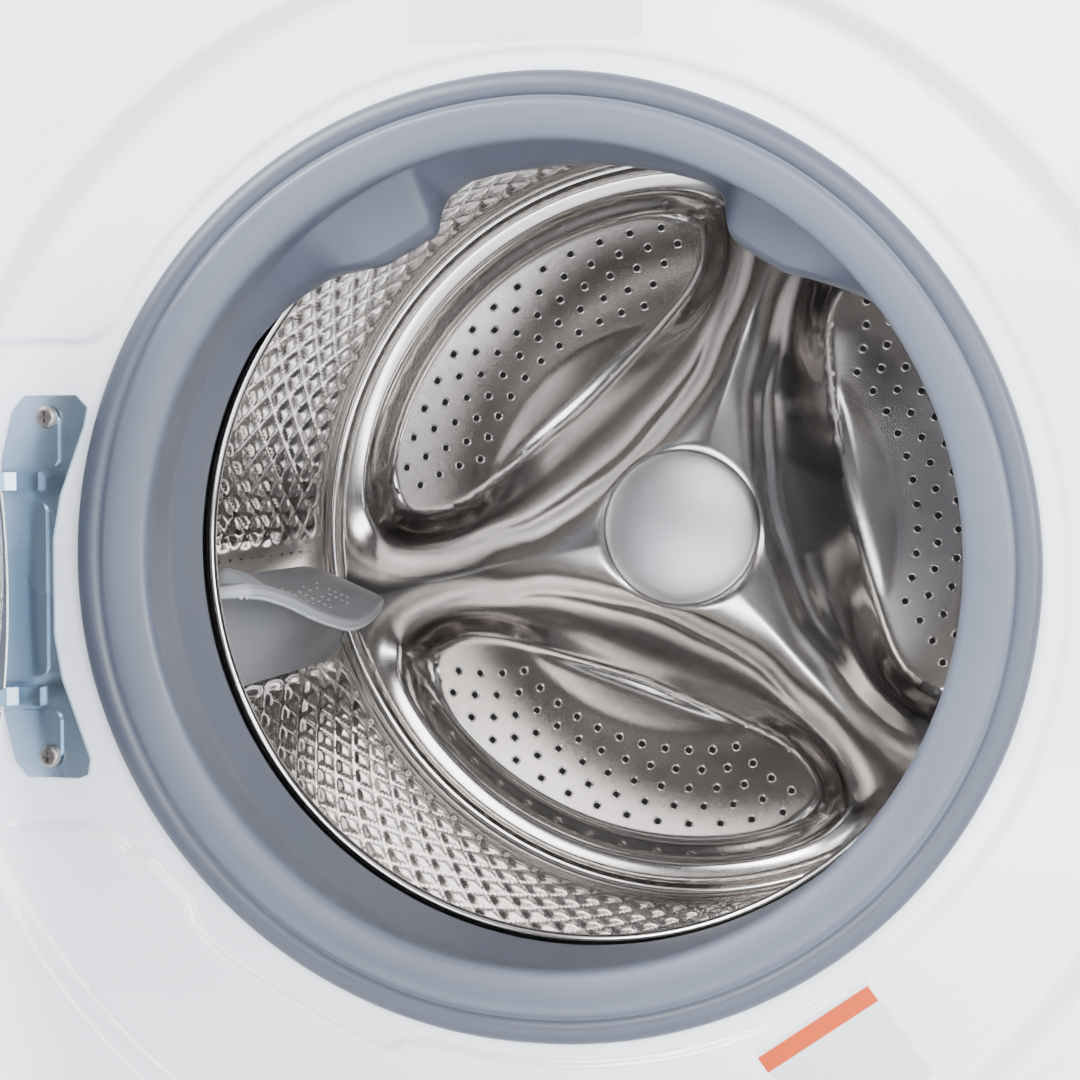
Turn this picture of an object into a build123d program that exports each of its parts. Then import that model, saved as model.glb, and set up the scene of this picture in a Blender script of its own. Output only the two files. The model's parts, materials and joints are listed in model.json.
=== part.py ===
"""Front load washing machine: a steel cabinet with a suspended tub, a direct drive drum and a round door.

Units are millimetres. +X is to the right of someone facing the machine, +Y goes to the back, +Z is up.
The origin lies on the floor in the centre of the four levelling feet. The door stands open at 92 degrees.
"""

import os
from math import cos, hypot, radians, sin, sqrt

from build123d import *

# ---------------------------------------------------------------- driving dimensions
WIDTH = 686.0
DEPTH = 700.0
HEIGHT = 983.0
SHEET = 1.2  # cabinet steel
FOOT_HEIGHT = 22.0
FASCIA_LOW = 852.0
LID_LOW = 962.0

FRONT = -DEPTH / 2
BACK = DEPTH / 2
SIDE = WIDTH / 2

AXIS_Z = 480.0  # height of the drum's axis
SEAL_Y = FRONT + 12.0  # plane of the door seal's face and of the panel's groove around it
DOOR_X = -6.0
DOOR_Z = AXIS_Z - 20.0  # the door and its dish sit lower than the drum

DISH_FLOOR_R = 297.0
DISH_RIM_R = 308.0
DISH_Y = SEAL_Y - 3.0  # the dish's floor stands a little in front of the groove
GROOVE_R = 241.0
PORT_R = 222.0  # opening in the front panel
SEAL_OUTER_R = 230.0
SEAL_INNER_R = 197.0

DRUM_R = 275.0
DRUM_SHEET = 1.0
DRUM_LIP_R = 207.0
DRUM_LIP_Y = SEAL_Y + 109.0
DRUM_SEAM_Y = SEAL_Y + 485.0
DRUM_FLOOR_Y = SEAL_Y + 520.0  # floor of the three pockets in the drum's back
LOBE_ANGLES = (12.0, 132.0, 252.0)
LIFTER_ANGLES = (12.0, 192.0)
LIFTER_HEIGHT = 62.0
HUB_CAP_R = 58.0

TUB_R = 292.0
TUB_WALL = 5.0
TUB_FRONT_Y = DRUM_LIP_Y - 16.0
TUB_BACK_Y = DRUM_FLOOR_Y + 46.0
TUB_SPLIT_Y = 20.0
TUB_NECK_R = 224.0

SHAFT_R = 15.0
FRONT_BEARING_R = 36.0
REAR_BEARING_R = 31.0
BEARING_GAP = 0.02

HINGE_X = -276.0
HINGE_Y = SEAL_Y - 26.0
HINGE_PIN_R = 3.0
HINGE_MID_Z = AXIS_Z - 17.0
HINGE_SCREWS = ((-247.5, 85.0), (-247.5, -85.0))  # from the hinge's middle
ARM_OFFSETS = (53.0, -55.0)
DOOR_R = 285.0
DOOR_OPEN = -92.0
HOOK_PIN_X = 263.0
HINGE_LINE = Axis((HINGE_X, HINGE_Y, 0), (0, 0, 1))

FOOT_X = 296.0
FOOT_Y = 300.0
FOOT_PAD_R = 20.0
FOOT_STEM_R = 5.0

DRAWER_X = (-330.0, -120.0)
KNOB_X = 0.0
CONTROL_Z = 907.0
FASCIA_Y = FRONT - 12.0

SERVICE_Z = 900.0  # water inlets and drain outlet on the back
INLET_X = (-240.0, -180.0)
INLET_R = 13.2
OUTLET_X = 240.0

HANGER_X = 190.0  # the tub hangs from a brace by two springs
HANGER_Y = 60.0
HANGER_Z = 858.0

PUMP_X = -240.0
PUMP_Z = 95.0
FLAP_PIN_Y = FRONT + 7.0
FLAP_PIN_Z = PUMP_Z - 41.0
PUMP_INLET_Y = FRONT + 122.0
SUMP_X = -190.0  # the outlet under the tub
SUMP_Y = -185.0
SUMP_Z = 222.0
FILL_Y = FRONT + 235.0  # the hose from the drawer to the tub
FILL_Z = 716.0

DAMPER_TUB = (165.0, 208.0)  # x and z of the damper's upper pin
DAMPER_BASE = (222.0, 74.0)  # x and z of its lower pin


def keep(part, name):
    """Labels a finished piece and writes it to its own STEP file."""
    part.label = name
    export_step(part, f"parts/{name}.step")


def facing(y, z=AXIS_Z, x=0.0):
    """A plane that faces the front, with X to the right and its own Y up. A negative extrusion goes back."""
    return Plane(origin=(x, y, z), x_dir=(1, 0, 0), z_dir=(0, -1, 0))


def ring(points, z=AXIS_Z, x=0.0):
    """A solid of revolution about the axis along Y at x and z. Points are (radius, y)."""
    with BuildPart() as turned:
        with BuildSketch(Plane.YZ.offset(x)):
            with BuildLine():
                Polyline(*[(y, z + r) for r, y in points], close=True)
            make_face()
        revolve(axis=Axis((x, 0, z), (0, 1, 0)))
    return turned.part


def wall(points, thickness):
    """The closed outline of a wall of even thickness that follows (radius, y) points."""
    offset_points = []
    for i, (r, y) in enumerate(points):
        before = points[max(i - 1, 0)]
        after = points[min(i + 1, len(points) - 1)]
        run_r = after[0] - before[0]
        run_y = after[1] - before[1]
        length = hypot(run_r, run_y)
        offset_points.append((r + thickness * run_y / length, y - thickness * run_r / length))
    return list(points) + offset_points[::-1]


# ---------------------------------------------------------------- cabinet
def cabinet_shell():
    """Both sides and the back as one folded sheet, with flanges and openings for the services."""
    low = FOOT_HEIGHT + 14
    high = LID_LOW - 0.2
    flange = 22.0
    with BuildPart() as shell:
        with BuildSketch(Plane.XY.offset(low)):
            with Locations((0, 2)):
                Rectangle(WIDTH, DEPTH - 4)
            with Locations((0, 2 - SHEET)):
                Rectangle(WIDTH - 2 * SHEET, DEPTH - 4, mode=Mode.SUBTRACT)
            with Locations(
                (-SIDE + flange / 2, FRONT + 4 + SHEET / 2),
                (SIDE - flange / 2, FRONT + 4 + SHEET / 2),
            ):
                Rectangle(flange, SHEET)
        extrude(amount=high - low)
        with BuildSketch(facing(BACK - 20, AXIS_Z)):
            RectangleRounded(430, 430, 60)
        extrude(amount=-40, mode=Mode.SUBTRACT)
        with BuildSketch(facing(BACK - 20, 0)):
            with Locations(*[(x, SERVICE_Z) for x in (*INLET_X, OUTLET_X)]):
                Circle(15.2)
            with Locations((270, 120)):
                Circle(11.2)
        extrude(amount=-40, mode=Mode.SUBTRACT)
        with Locations((0, FRONT + 21, (FASCIA_LOW + LID_LOW) / 2)):
            Box(WIDTH + 2, 43, LID_LOW - FASCIA_LOW + 2, mode=Mode.SUBTRACT)
        with Locations((0, HANGER_Y, HANGER_Z + 1.5)):
            Box(WIDTH - 1, 34, 3)
        for s in (-1, 1):
            with Locations((s * HANGER_X, HANGER_Y, HANGER_Z + 9)):
                Box(16, 34, 14)
    keep(shell.part, "cabinet_shell")


def base_frame():
    """The welded base: a perimeter channel with a threaded boss over each foot and two damper brackets."""
    low = FOOT_HEIGHT
    with BuildPart() as base:
        with BuildSketch(Plane.XY.offset(low)):
            Rectangle(WIDTH - 2 * SHEET - 1, DEPTH - 16)
            Rectangle(WIDTH - 100, DEPTH - 110, mode=Mode.SUBTRACT)
        extrude(amount=13)
        with BuildSketch(Plane.XY.offset(low + 13)):
            Rectangle(WIDTH - 12, DEPTH - 26)
            Rectangle(WIDTH - 16, DEPTH - 30, mode=Mode.SUBTRACT)
        extrude(amount=18)
        with Locations((0, 0, low + 4)):
            Box(WIDTH - 90, 46, 8)
        with Locations(*[(s * DAMPER_BASE[0], y, low + 32) for s in (-1, 1) for y in (-20, 20)]):
            Box(34, 3, 60)
        with BuildSketch(Plane.XZ):
            with Locations(*[(s * DAMPER_BASE[0], DAMPER_BASE[1]) for s in (-1, 1)]):
                Circle(5)
        extrude(amount=21.5, both=True)
        with Locations(*[(x, y, low) for x in (-FOOT_X, FOOT_X) for y in (-FOOT_Y, FOOT_Y)]):
            Hole(FOOT_STEM_R + 0.08, depth=30)
    keep(base.part, "base_frame")


def feet():
    """Four levelling feet, each a rubber pad, a hexagon and a threaded stem, and their lock nuts."""
    corners = {"front_left": (-1, -1), "front_right": (1, -1), "rear_left": (-1, 1), "rear_right": (1, 1)}
    for name, (sx, sy) in corners.items():
        spot = (sx * FOOT_X, sy * FOOT_Y)
        with BuildPart() as foot:
            with BuildSketch(Plane.XY):
                with Locations(spot):
                    Circle(FOOT_PAD_R)
            extrude(amount=8)
            chamfer(foot.edges().filter_by(GeomType.CIRCLE).sort_by(Axis.Z)[-1], 2)
            with BuildSketch(Plane.XY.offset(8)):
                with Locations(spot):
                    RegularPolygon(10, 6)
            extrude(amount=5)
            with BuildSketch(Plane.XY.offset(13)):
                with Locations(spot):
                    Circle(FOOT_STEM_R)
            extrude(amount=45)
        keep(foot.part, f"foot_{name}")
    with BuildPart() as nuts:
        with BuildSketch(Plane.XY.offset(FOOT_HEIGHT - 6.5)):
            with Locations(*[(x, y) for x in (-FOOT_X, FOOT_X) for y in (-FOOT_Y, FOOT_Y)]):
                RegularPolygon(9.5, 6)
                Circle(FOOT_STEM_R + 0.08, mode=Mode.SUBTRACT)
        extrude(amount=6.3)
    keep(Compound(nuts.part.solids()), "foot_lock_nuts")


def top_panel():
    """The lid: a moulded plate with a skirt and a raised rear upstand."""
    with BuildPart() as lid:
        with BuildSketch(Plane.XY.offset(LID_LOW)):
            with Locations((0, -5)):
                RectangleRounded(WIDTH + 2, DEPTH + 14, 12)
        extrude(amount=HEIGHT - LID_LOW)
        fillet(lid.edges().group_by(Axis.Z)[-1], 6)
        with BuildSketch(Plane.XY.offset(LID_LOW)):
            with Locations((0, -5)):
                RectangleRounded(WIDTH - 6, DEPTH + 6, 9)
        extrude(amount=HEIGHT - LID_LOW - 4, mode=Mode.SUBTRACT)
    keep(lid.part, "top_panel")


def groove_outline(grow=0.0):
    """Draws the sunk area of the dish: a circle around the seal, joined to the pocket that holds the hinge."""
    Circle(GROOVE_R + grow)
    with Locations((-240 - grow / 2, -16.5)):
        Rectangle(140 + grow, 247 + 2 * grow)
    with Locations((DOOR_X, DOOR_Z - AXIS_Z)):
        Circle(DISH_FLOOR_R - 3 + grow, mode=Mode.INTERSECT)


def front_panel():
    """The steel front: a flat sheet pressed into a round dish, with a groove around the seal and folded edges."""
    low = FOOT_HEIGHT + 14
    high = FASCIA_LOW - 1
    mid = (low + high) / 2
    fold = 3.0
    with BuildPart() as panel:
        with Locations((0, FRONT + SHEET / 2, mid)):
            Box(WIDTH, SHEET, high - low)
        for z in (low + SHEET / 2, high - SHEET / 2):
            with Locations((0, FRONT + fold / 2, z)):
                Box(WIDTH, fold, SHEET)
        for x in (-SIDE + SHEET / 2, SIDE - SHEET / 2):
            with Locations((x, FRONT + fold / 2, mid)):
                Box(SHEET, fold, high - low)
        with BuildSketch(facing(FRONT + 10, DOOR_Z, DOOR_X)):
            Circle(DISH_RIM_R)
        extrude(amount=20, mode=Mode.SUBTRACT)
        slope = [
            (DISH_RIM_R, FRONT),
            (DISH_RIM_R - 3, FRONT + 1.5),
            (DISH_FLOOR_R + 3, DISH_Y - 1.5),
            (DISH_FLOOR_R, DISH_Y),
            (150.0, DISH_Y),
        ]
        add(ring(wall(slope, SHEET), DOOR_Z, DOOR_X))
        with BuildSketch(facing(SEAL_Y + SHEET)):
            groove_outline(SHEET)
        extrude(amount=SEAL_Y + SHEET - DISH_Y - 0.3)
        with BuildSketch(facing(SEAL_Y)):
            groove_outline()
        extrude(amount=20, mode=Mode.SUBTRACT)
        with BuildSketch(facing(SEAL_Y + 20)):
            Circle(PORT_R)
        extrude(amount=60, mode=Mode.SUBTRACT)
        with Locations((HOOK_PIN_X + 4, SEAL_Y, DOOR_Z)):
            Box(20, 20, 46, mode=Mode.SUBTRACT)
        with Locations((PUMP_X, FRONT, PUMP_Z - 1.5)):
            Box(150, 20, 99, mode=Mode.SUBTRACT)
        for s in (-1, 1):
            with Locations((PUMP_X + s * 77.5, FRONT + SHEET + 5.4, FLAP_PIN_Z)):
                Box(4, 11, 14)
        with BuildSketch(Plane.YZ.offset(PUMP_X - 90)):
            with Locations((FLAP_PIN_Y, FLAP_PIN_Z)):
                Circle(2.58)
        extrude(amount=180, mode=Mode.SUBTRACT)
    keep(panel.part, "front_panel")


def rear_cover():
    """The cover over the motor on the back, pressed outwards by a few millimetres."""
    with BuildPart() as cover:
        with BuildSketch(facing(BACK + 0.1)):
            RectangleRounded(470, 470, 70)
        extrude(amount=-SHEET)
        with BuildSketch(facing(BACK + 0.1 + SHEET)):
            RectangleRounded(400, 400, 50)
        extrude(amount=-9, taper=30)
        with BuildSketch(facing(BACK + 0.1)):
            RectangleRounded(396, 396, 48)
        extrude(amount=-8.5, taper=30, mode=Mode.SUBTRACT)
    keep(cover.part, "rear_cover")


def panel_screws():
    """The hexagon head screws that hold the rear cover and the lid at the back."""
    with BuildPart() as screws:
        spots = [(x, z) for x in (-222, 0, 222) for z in (AXIS_Z - 222, AXIS_Z + 222)]
        with BuildSketch(facing(BACK + 0.1 + SHEET, 0)):
            with Locations(*spots):
                RegularPolygon(4.5, 6)
        extrude(amount=-4)
    keep(Compound(screws.part.solids()), "panel_screws")


# ---------------------------------------------------------------- controls and dispenser
def control_fascia():
    """The moulded control panel above the door, with openings for the drawer, knob, display and buttons."""
    top = LID_LOW - 0.5
    with BuildPart() as fascia:
        with BuildSketch(Plane.YZ.offset(-SIDE)):
            with BuildLine():
                Polyline(
                    (FRONT + 4, FASCIA_LOW),
                    (FRONT - 4, FASCIA_LOW),
                    (FASCIA_Y, FASCIA_LOW + 12),
                    (FASCIA_Y, top),
                    (FRONT + 40, top),
                    (FRONT + 40, top - 3),
                    (FASCIA_Y + 3, top - 3),
                    (FASCIA_Y + 3, FASCIA_LOW + 13.5),
                    (FRONT - 3, FASCIA_LOW + 3),
                    (FRONT + 4, FASCIA_LOW + 3),
                    close=True,
                )
            make_face()
        extrude(amount=WIDTH)
        for s in (-1, 1):
            with Locations((s * (SIDE - 1.5), FRONT + 15.6, (FASCIA_LOW + top) / 2)):
                Box(3, 53.2, top - FASCIA_LOW - 2)
        width = DRAWER_X[1] - DRAWER_X[0]
        with Locations(((DRAWER_X[0] + DRAWER_X[1]) / 2, FRONT, CONTROL_Z)):
            Box(width, 60, 96, mode=Mode.SUBTRACT)
        with BuildSketch(facing(FRONT + 4, CONTROL_Z)):
            with Locations((KNOB_X, 0)):
                Circle(12)
            with Locations((155, 14)):
                RectangleRounded(150, 46, 6)
            with Locations((125, -28), (185, -28)):
                SlotOverall(36, 14)
            with Locations((272, 0)):
                Circle(20.5)
            with Locations((-85, 0)):
                Circle(12.5)
        extrude(amount=30, mode=Mode.SUBTRACT)
    keep(fascia.part, "control_fascia")


def display_window():
    """The clear window in front of the display."""
    with BuildPart() as window:
        with BuildSketch(facing(FASCIA_Y + 5, CONTROL_Z)):
            with Locations((155, 14)):
                RectangleRounded(149.4, 45.4, 5.7)
        extrude(amount=5)
        with BuildSketch(facing(FASCIA_Y + 5, CONTROL_Z)):
            with Locations((155, 14)):
                RectangleRounded(158, 54, 6)
        extrude(amount=1.9)
    keep(window.part, "display_window")


def control_board():
    """The circuit board behind the fascia, with its display, a relay and a transformer."""
    board_y = FRONT + 18
    with BuildPart() as board:
        with Locations((130, board_y, CONTROL_Z)):
            Box(320, 1.6, 80)
        with Locations((KNOB_X, board_y - 7.7, CONTROL_Z)):
            Box(26, 14, 26)
        with BuildSketch(facing(board_y - 1, CONTROL_Z)):
            with Locations((KNOB_X, 0)):
                Circle(8.08)
        extrude(amount=20, mode=Mode.SUBTRACT)
        with Locations((155, board_y - 10.8, CONTROL_Z + 14)):
            Box(120, 20, 36)
        with Locations((70, board_y + 10, CONTROL_Z)):
            Box(30, 18.5, 30)
        with Locations((240, board_y + 8, CONTROL_Z + 10)):
            Box(18, 14.5, 26)
    keep(board.part, "control_board")


def knob():
    """The cycle selector: a ribbed dial on a short spindle."""
    with BuildPart() as dial:
        with BuildSketch(facing(FASCIA_Y - 1, CONTROL_Z)):
            with Locations((KNOB_X, 0)):
                Circle(31)
        extrude(amount=22, taper=4)
        fillet(dial.faces().sort_by(Axis.Y)[0].edges(), 3)
        with BuildSketch(facing(FASCIA_Y - 23, CONTROL_Z)):
            with Locations((KNOB_X, 0)):
                Circle(22)
        extrude(amount=-1.5, mode=Mode.SUBTRACT)
        with BuildSketch(facing(FASCIA_Y + 20, CONTROL_Z)):
            with Locations((KNOB_X, 0)):
                Circle(8)
        extrude(amount=22)
    keep(dial.part, "cycle_knob")


def button(name, x, z, shape_width, shape_height):
    """A push button with a collar behind the fascia that keeps it in."""
    with BuildPart() as key:
        with BuildSketch(facing(FASCIA_Y + 3.6, CONTROL_Z)):
            with Locations((x, z)):
                if shape_width == shape_height:
                    Circle(shape_width / 2)
                else:
                    SlotOverall(shape_width, shape_height)
        extrude(amount=6.1)
        fillet(key.faces().sort_by(Axis.Y)[0].edges(), 0.8)
        with BuildSketch(facing(FASCIA_Y + 5, CONTROL_Z)):
            with Locations((x, z)):
                if shape_width == shape_height:
                    Circle(shape_width / 2 + 2)
                else:
                    SlotOverall(shape_width + 4, shape_height + 4)
        extrude(amount=1.5)
    keep(key.part, name)


def drawer():
    """The detergent drawer: its front panel, the tray with three cups, and the housing that it slides in."""
    low_x, high_x = DRAWER_X
    mid_x = (low_x + high_x) / 2
    width = high_x - low_x
    with BuildPart() as face:
        with Locations((mid_x, FASCIA_Y + 2, CONTROL_Z)):
            Box(width - 2, 4, 94)
        fillet(face.faces().sort_by(Axis.Y)[0].edges(), 1.5)
        with Locations((mid_x, FASCIA_Y + 7, CONTROL_Z)):
            Box(width - 10, 6, 86)
        with Locations((mid_x, FASCIA_Y + 4, CONTROL_Z - 47)):
            Box(90, 14, 24, mode=Mode.SUBTRACT)
    keep(face.part, "drawer_front")
    tray_y = FASCIA_Y + 10.2
    with BuildPart() as tray:
        with Locations((mid_x, tray_y + 125, CONTROL_Z - 2)):
            Box(width - 22, 250, 66)
        cups = ((-58, 62), (6, 58), (66, 54))
        for offset_x, cup_width in cups:
            with Locations((mid_x + offset_x, tray_y + 125, CONTROL_Z + 2)):
                Box(cup_width, 242, 70, mode=Mode.SUBTRACT)
    keep(tray.part, "drawer_tray")
    with BuildPart() as housing:
        with Locations((mid_x, FRONT + 150, CONTROL_Z)):
            Box(width - 4, 285, 88)
        with Locations((mid_x, FRONT + 145, CONTROL_Z)):
            Box(width - 12, 287, 78, mode=Mode.SUBTRACT)
        with BuildSketch(Plane.XY.offset(CONTROL_Z - 44 - 26)):
            with Locations((mid_x, FILL_Y)):
                Circle(17)
        extrude(amount=26)
        with BuildSketch(Plane.XY.offset(CONTROL_Z - 44 - 26)):
            with Locations((mid_x, FILL_Y)):
                Circle(14)
        extrude(amount=34, mode=Mode.SUBTRACT)
    keep(housing.part, "drawer_housing")


def inlet_valves():
    """Hot and cold water valves, each with a threaded inlet that stands out of the back."""
    with BuildPart() as valves:
        for x in INLET_X:
            with Locations((x, BACK - 26, SERVICE_Z)):
                Box(36, 40, 40)
            with Locations((x, BACK + 1.4, SERVICE_Z)):
                Box(34, 2.6, 34)
            with BuildSketch(facing(BACK - 8, SERVICE_Z, x)):
                Circle(INLET_R)
            extrude(amount=-26)
            with BuildSketch(facing(BACK - 8, SERVICE_Z, x)):
                Circle(8)
            extrude(amount=-30, mode=Mode.SUBTRACT)
            with BuildSketch(facing(BACK - 66, SERVICE_Z + 12, x)):
                Circle(13)
            extrude(amount=-21)
    keep(Compound(valves.part.solids()), "inlet_valves")


def rear_outlets():
    """The spigot for the drain hose and, apart from it, the gland that the mains lead would leave through."""
    with BuildPart() as spigot:
        with BuildSketch(facing(BACK - 14, SERVICE_Z, OUTLET_X)):
            Circle(15)
        extrude(amount=-48)
        with BuildSketch(facing(BACK + 0.1, SERVICE_Z, OUTLET_X)):
            Circle(20)
        extrude(amount=-3)
        with BuildSketch(facing(BACK - 20, SERVICE_Z, OUTLET_X)):
            Circle(11)
        extrude(amount=-60, mode=Mode.SUBTRACT)
    keep(spigot.part, "drain_outlet")
    with BuildPart() as gland:
        with BuildSketch(facing(BACK - 8, 120, 270)):
            Circle(15)
        extrude(amount=-6.5)
        with BuildSketch(facing(BACK - 2, 120, 270)):
            Circle(11)
        extrude(amount=-9)
        with BuildSketch(facing(BACK - 10, 120, 270)):
            Circle(4.5)
        extrude(amount=-30, mode=Mode.SUBTRACT)
    keep(gland.part, "cord_gland")


# ---------------------------------------------------------------- pump
def pump():
    """The drain pump behind the flap, its impeller, the twist-out filter and the access flap."""
    start = FRONT + 26
    with BuildPart() as body:
        with BuildSketch(facing(start, PUMP_Z, PUMP_X)):
            Circle(37)
        extrude(amount=-120)
        with BuildSketch(facing(start - 1, PUMP_Z, PUMP_X)):
            Circle(33)
        extrude(amount=-116, mode=Mode.SUBTRACT)
        with BuildSketch(facing(start + 120, PUMP_Z, PUMP_X)):
            Circle(30)
        extrude(amount=-62)
        with BuildSketch(Plane.XY.offset(PUMP_Z + 34.5)):
            with Locations((PUMP_X, PUMP_INLET_Y)):
                Circle(20)
        extrude(amount=27.5)
        with BuildSketch(Plane.XY.offset(PUMP_Z)):
            with Locations((PUMP_X, PUMP_INLET_Y)):
                Circle(16)
        extrude(amount=70, mode=Mode.SUBTRACT)
        with Locations((PUMP_X, start + 80, PUMP_Z - 43)):
            Box(90, 70, 16)
    keep(body.part, "pump_body")
    with BuildPart() as impeller:
        with BuildSketch(facing(start + 76, PUMP_Z, PUMP_X)):
            Circle(7)
            with PolarLocations(14, 5):
                Rectangle(18, 2.5)
        extrude(amount=-32)
        with BuildSketch(facing(start + 108, PUMP_Z, PUMP_X)):
            Circle(24)
        extrude(amount=-2.5)
    keep(impeller.part, "pump_impeller")
    with BuildPart() as plug:
        with BuildSketch(facing(start - 14, PUMP_Z, PUMP_X)):
            Circle(36)
        extrude(amount=-12)
        with Locations((PUMP_X, start - 15, PUMP_Z)):
            Box(58, 6, 12)
        with BuildSketch(facing(start - 2, PUMP_Z, PUMP_X)):
            Circle(31)
            Circle(27, mode=Mode.SUBTRACT)
        extrude(amount=-70)
        for s in (-1, 1):
            with Locations((PUMP_X + s * 29, start + 40, PUMP_Z)):
                Box(30, 40, 20, mode=Mode.SUBTRACT)
    keep(plug.part, "filter_cap")
    with BuildPart() as flap:
        with Locations((PUMP_X, FRONT + 1.5, PUMP_Z)):
            Box(148, 3, 94)
        fillet(flap.edges().filter_by(Axis.Y), 6)
        with BuildSketch(Plane.YZ.offset(PUMP_X - 60)):
            with Locations((FLAP_PIN_Y, FLAP_PIN_Z)):
                Circle(4)
        extrude(amount=120)
        with BuildSketch(Plane.YZ.offset(PUMP_X - 79)):
            with Locations((FLAP_PIN_Y, FLAP_PIN_Z)):
                Circle(2.5)
        extrude(amount=158)
        with Locations((PUMP_X, FRONT + 3.5, PUMP_Z - 41)):
            Box(120, 4, 6)
    keep(flap.part, "filter_flap")


# ---------------------------------------------------------------- door seal
def door_seal():
    """The rubber bellows between the front panel and the tub, with two lugs at the top of its inner lip."""
    inner = [
        (SEAL_OUTER_R, SEAL_Y - 0.6),
        (SEAL_OUTER_R - 4, SEAL_Y - 5.0),
        (SEAL_OUTER_R - 10, SEAL_Y - 5.5),
        (SEAL_OUTER_R - 13, SEAL_Y - 3.2),
        (SEAL_OUTER_R - 16, SEAL_Y - 4.6),
        (SEAL_INNER_R + 3, SEAL_Y - 9.0),
        (SEAL_INNER_R, SEAL_Y - 6.0),
        (SEAL_INNER_R, SEAL_Y + 8.0),
        (205.0, SEAL_Y + 26.0),
        (211.0, SEAL_Y + 42.0),
        (208.0, SEAL_Y + 60.0),
        (202.0, SEAL_Y + 68.0),
        (202.0, SEAL_Y + 90.0),
    ]
    outer = [
        (206.0, SEAL_Y + 90.0),
        (206.5, SEAL_Y + 71.0),
        (TUB_NECK_R - 0.5, SEAL_Y + 71.0),
        (TUB_NECK_R - 0.5, SEAL_Y + 76.0),
        (TUB_NECK_R + 5.5, SEAL_Y + 76.0),
        (TUB_NECK_R + 5.5, SEAL_Y + 63.0),
        (TUB_NECK_R + 3.5, SEAL_Y + 60.0),
        (TUB_NECK_R + 3.5, SEAL_Y + 56.0),
        (216.0, SEAL_Y + 52.0),
        (216.0, SEAL_Y + 40.0),
        (209.5, SEAL_Y + 24.0),
        (202.5, SEAL_Y + 9.0),
        (202.5, SEAL_Y + 3.0),
        (PORT_R - 2.5, SEAL_Y + 4.5),
        (PORT_R - 2.5, SEAL_Y + 8.0),
        (PORT_R + 4.5, SEAL_Y + 8.0),
        (PORT_R + 4.5, SEAL_Y + SHEET + 0.3),
        (PORT_R - 0.4, SEAL_Y + SHEET + 0.3),
        (PORT_R - 0.4, SEAL_Y - 0.4),
    ]
    with BuildPart() as seal:
        add(ring(inner + outer))
        for angle in (52.0, 128.0):
            with BuildSketch(facing(SEAL_Y + 66)):
                with BuildLine():
                    spread = 13.0
                    root = [
                        (204.0 * cos(radians(angle + a)), 204.0 * sin(radians(angle + a)))
                        for a in (-spread, 0, spread)
                    ]
                    tips = [
                        (179.0 * cos(radians(angle + a)), 179.0 * sin(radians(angle + a)))
                        for a in (spread * 0.55, -spread * 0.55)
                    ]
                    ThreePointArc(*root)
                    Line(root[2], tips[0])
                    Line(tips[0], tips[1])
                    Line(tips[1], root[0])
                make_face()
            extrude(amount=-22)
    keep(seal.part, "door_seal")
    with BuildPart() as clamp:
        with BuildSketch(Plane.YZ):
            with Locations((SEAL_Y + 66.0, AXIS_Z + TUB_NECK_R + 7.7)):
                Circle(2)
        revolve(axis=Axis((0, 0, AXIS_Z), (0, 1, 0)))
    keep(clamp.part, "seal_clamp")


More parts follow.
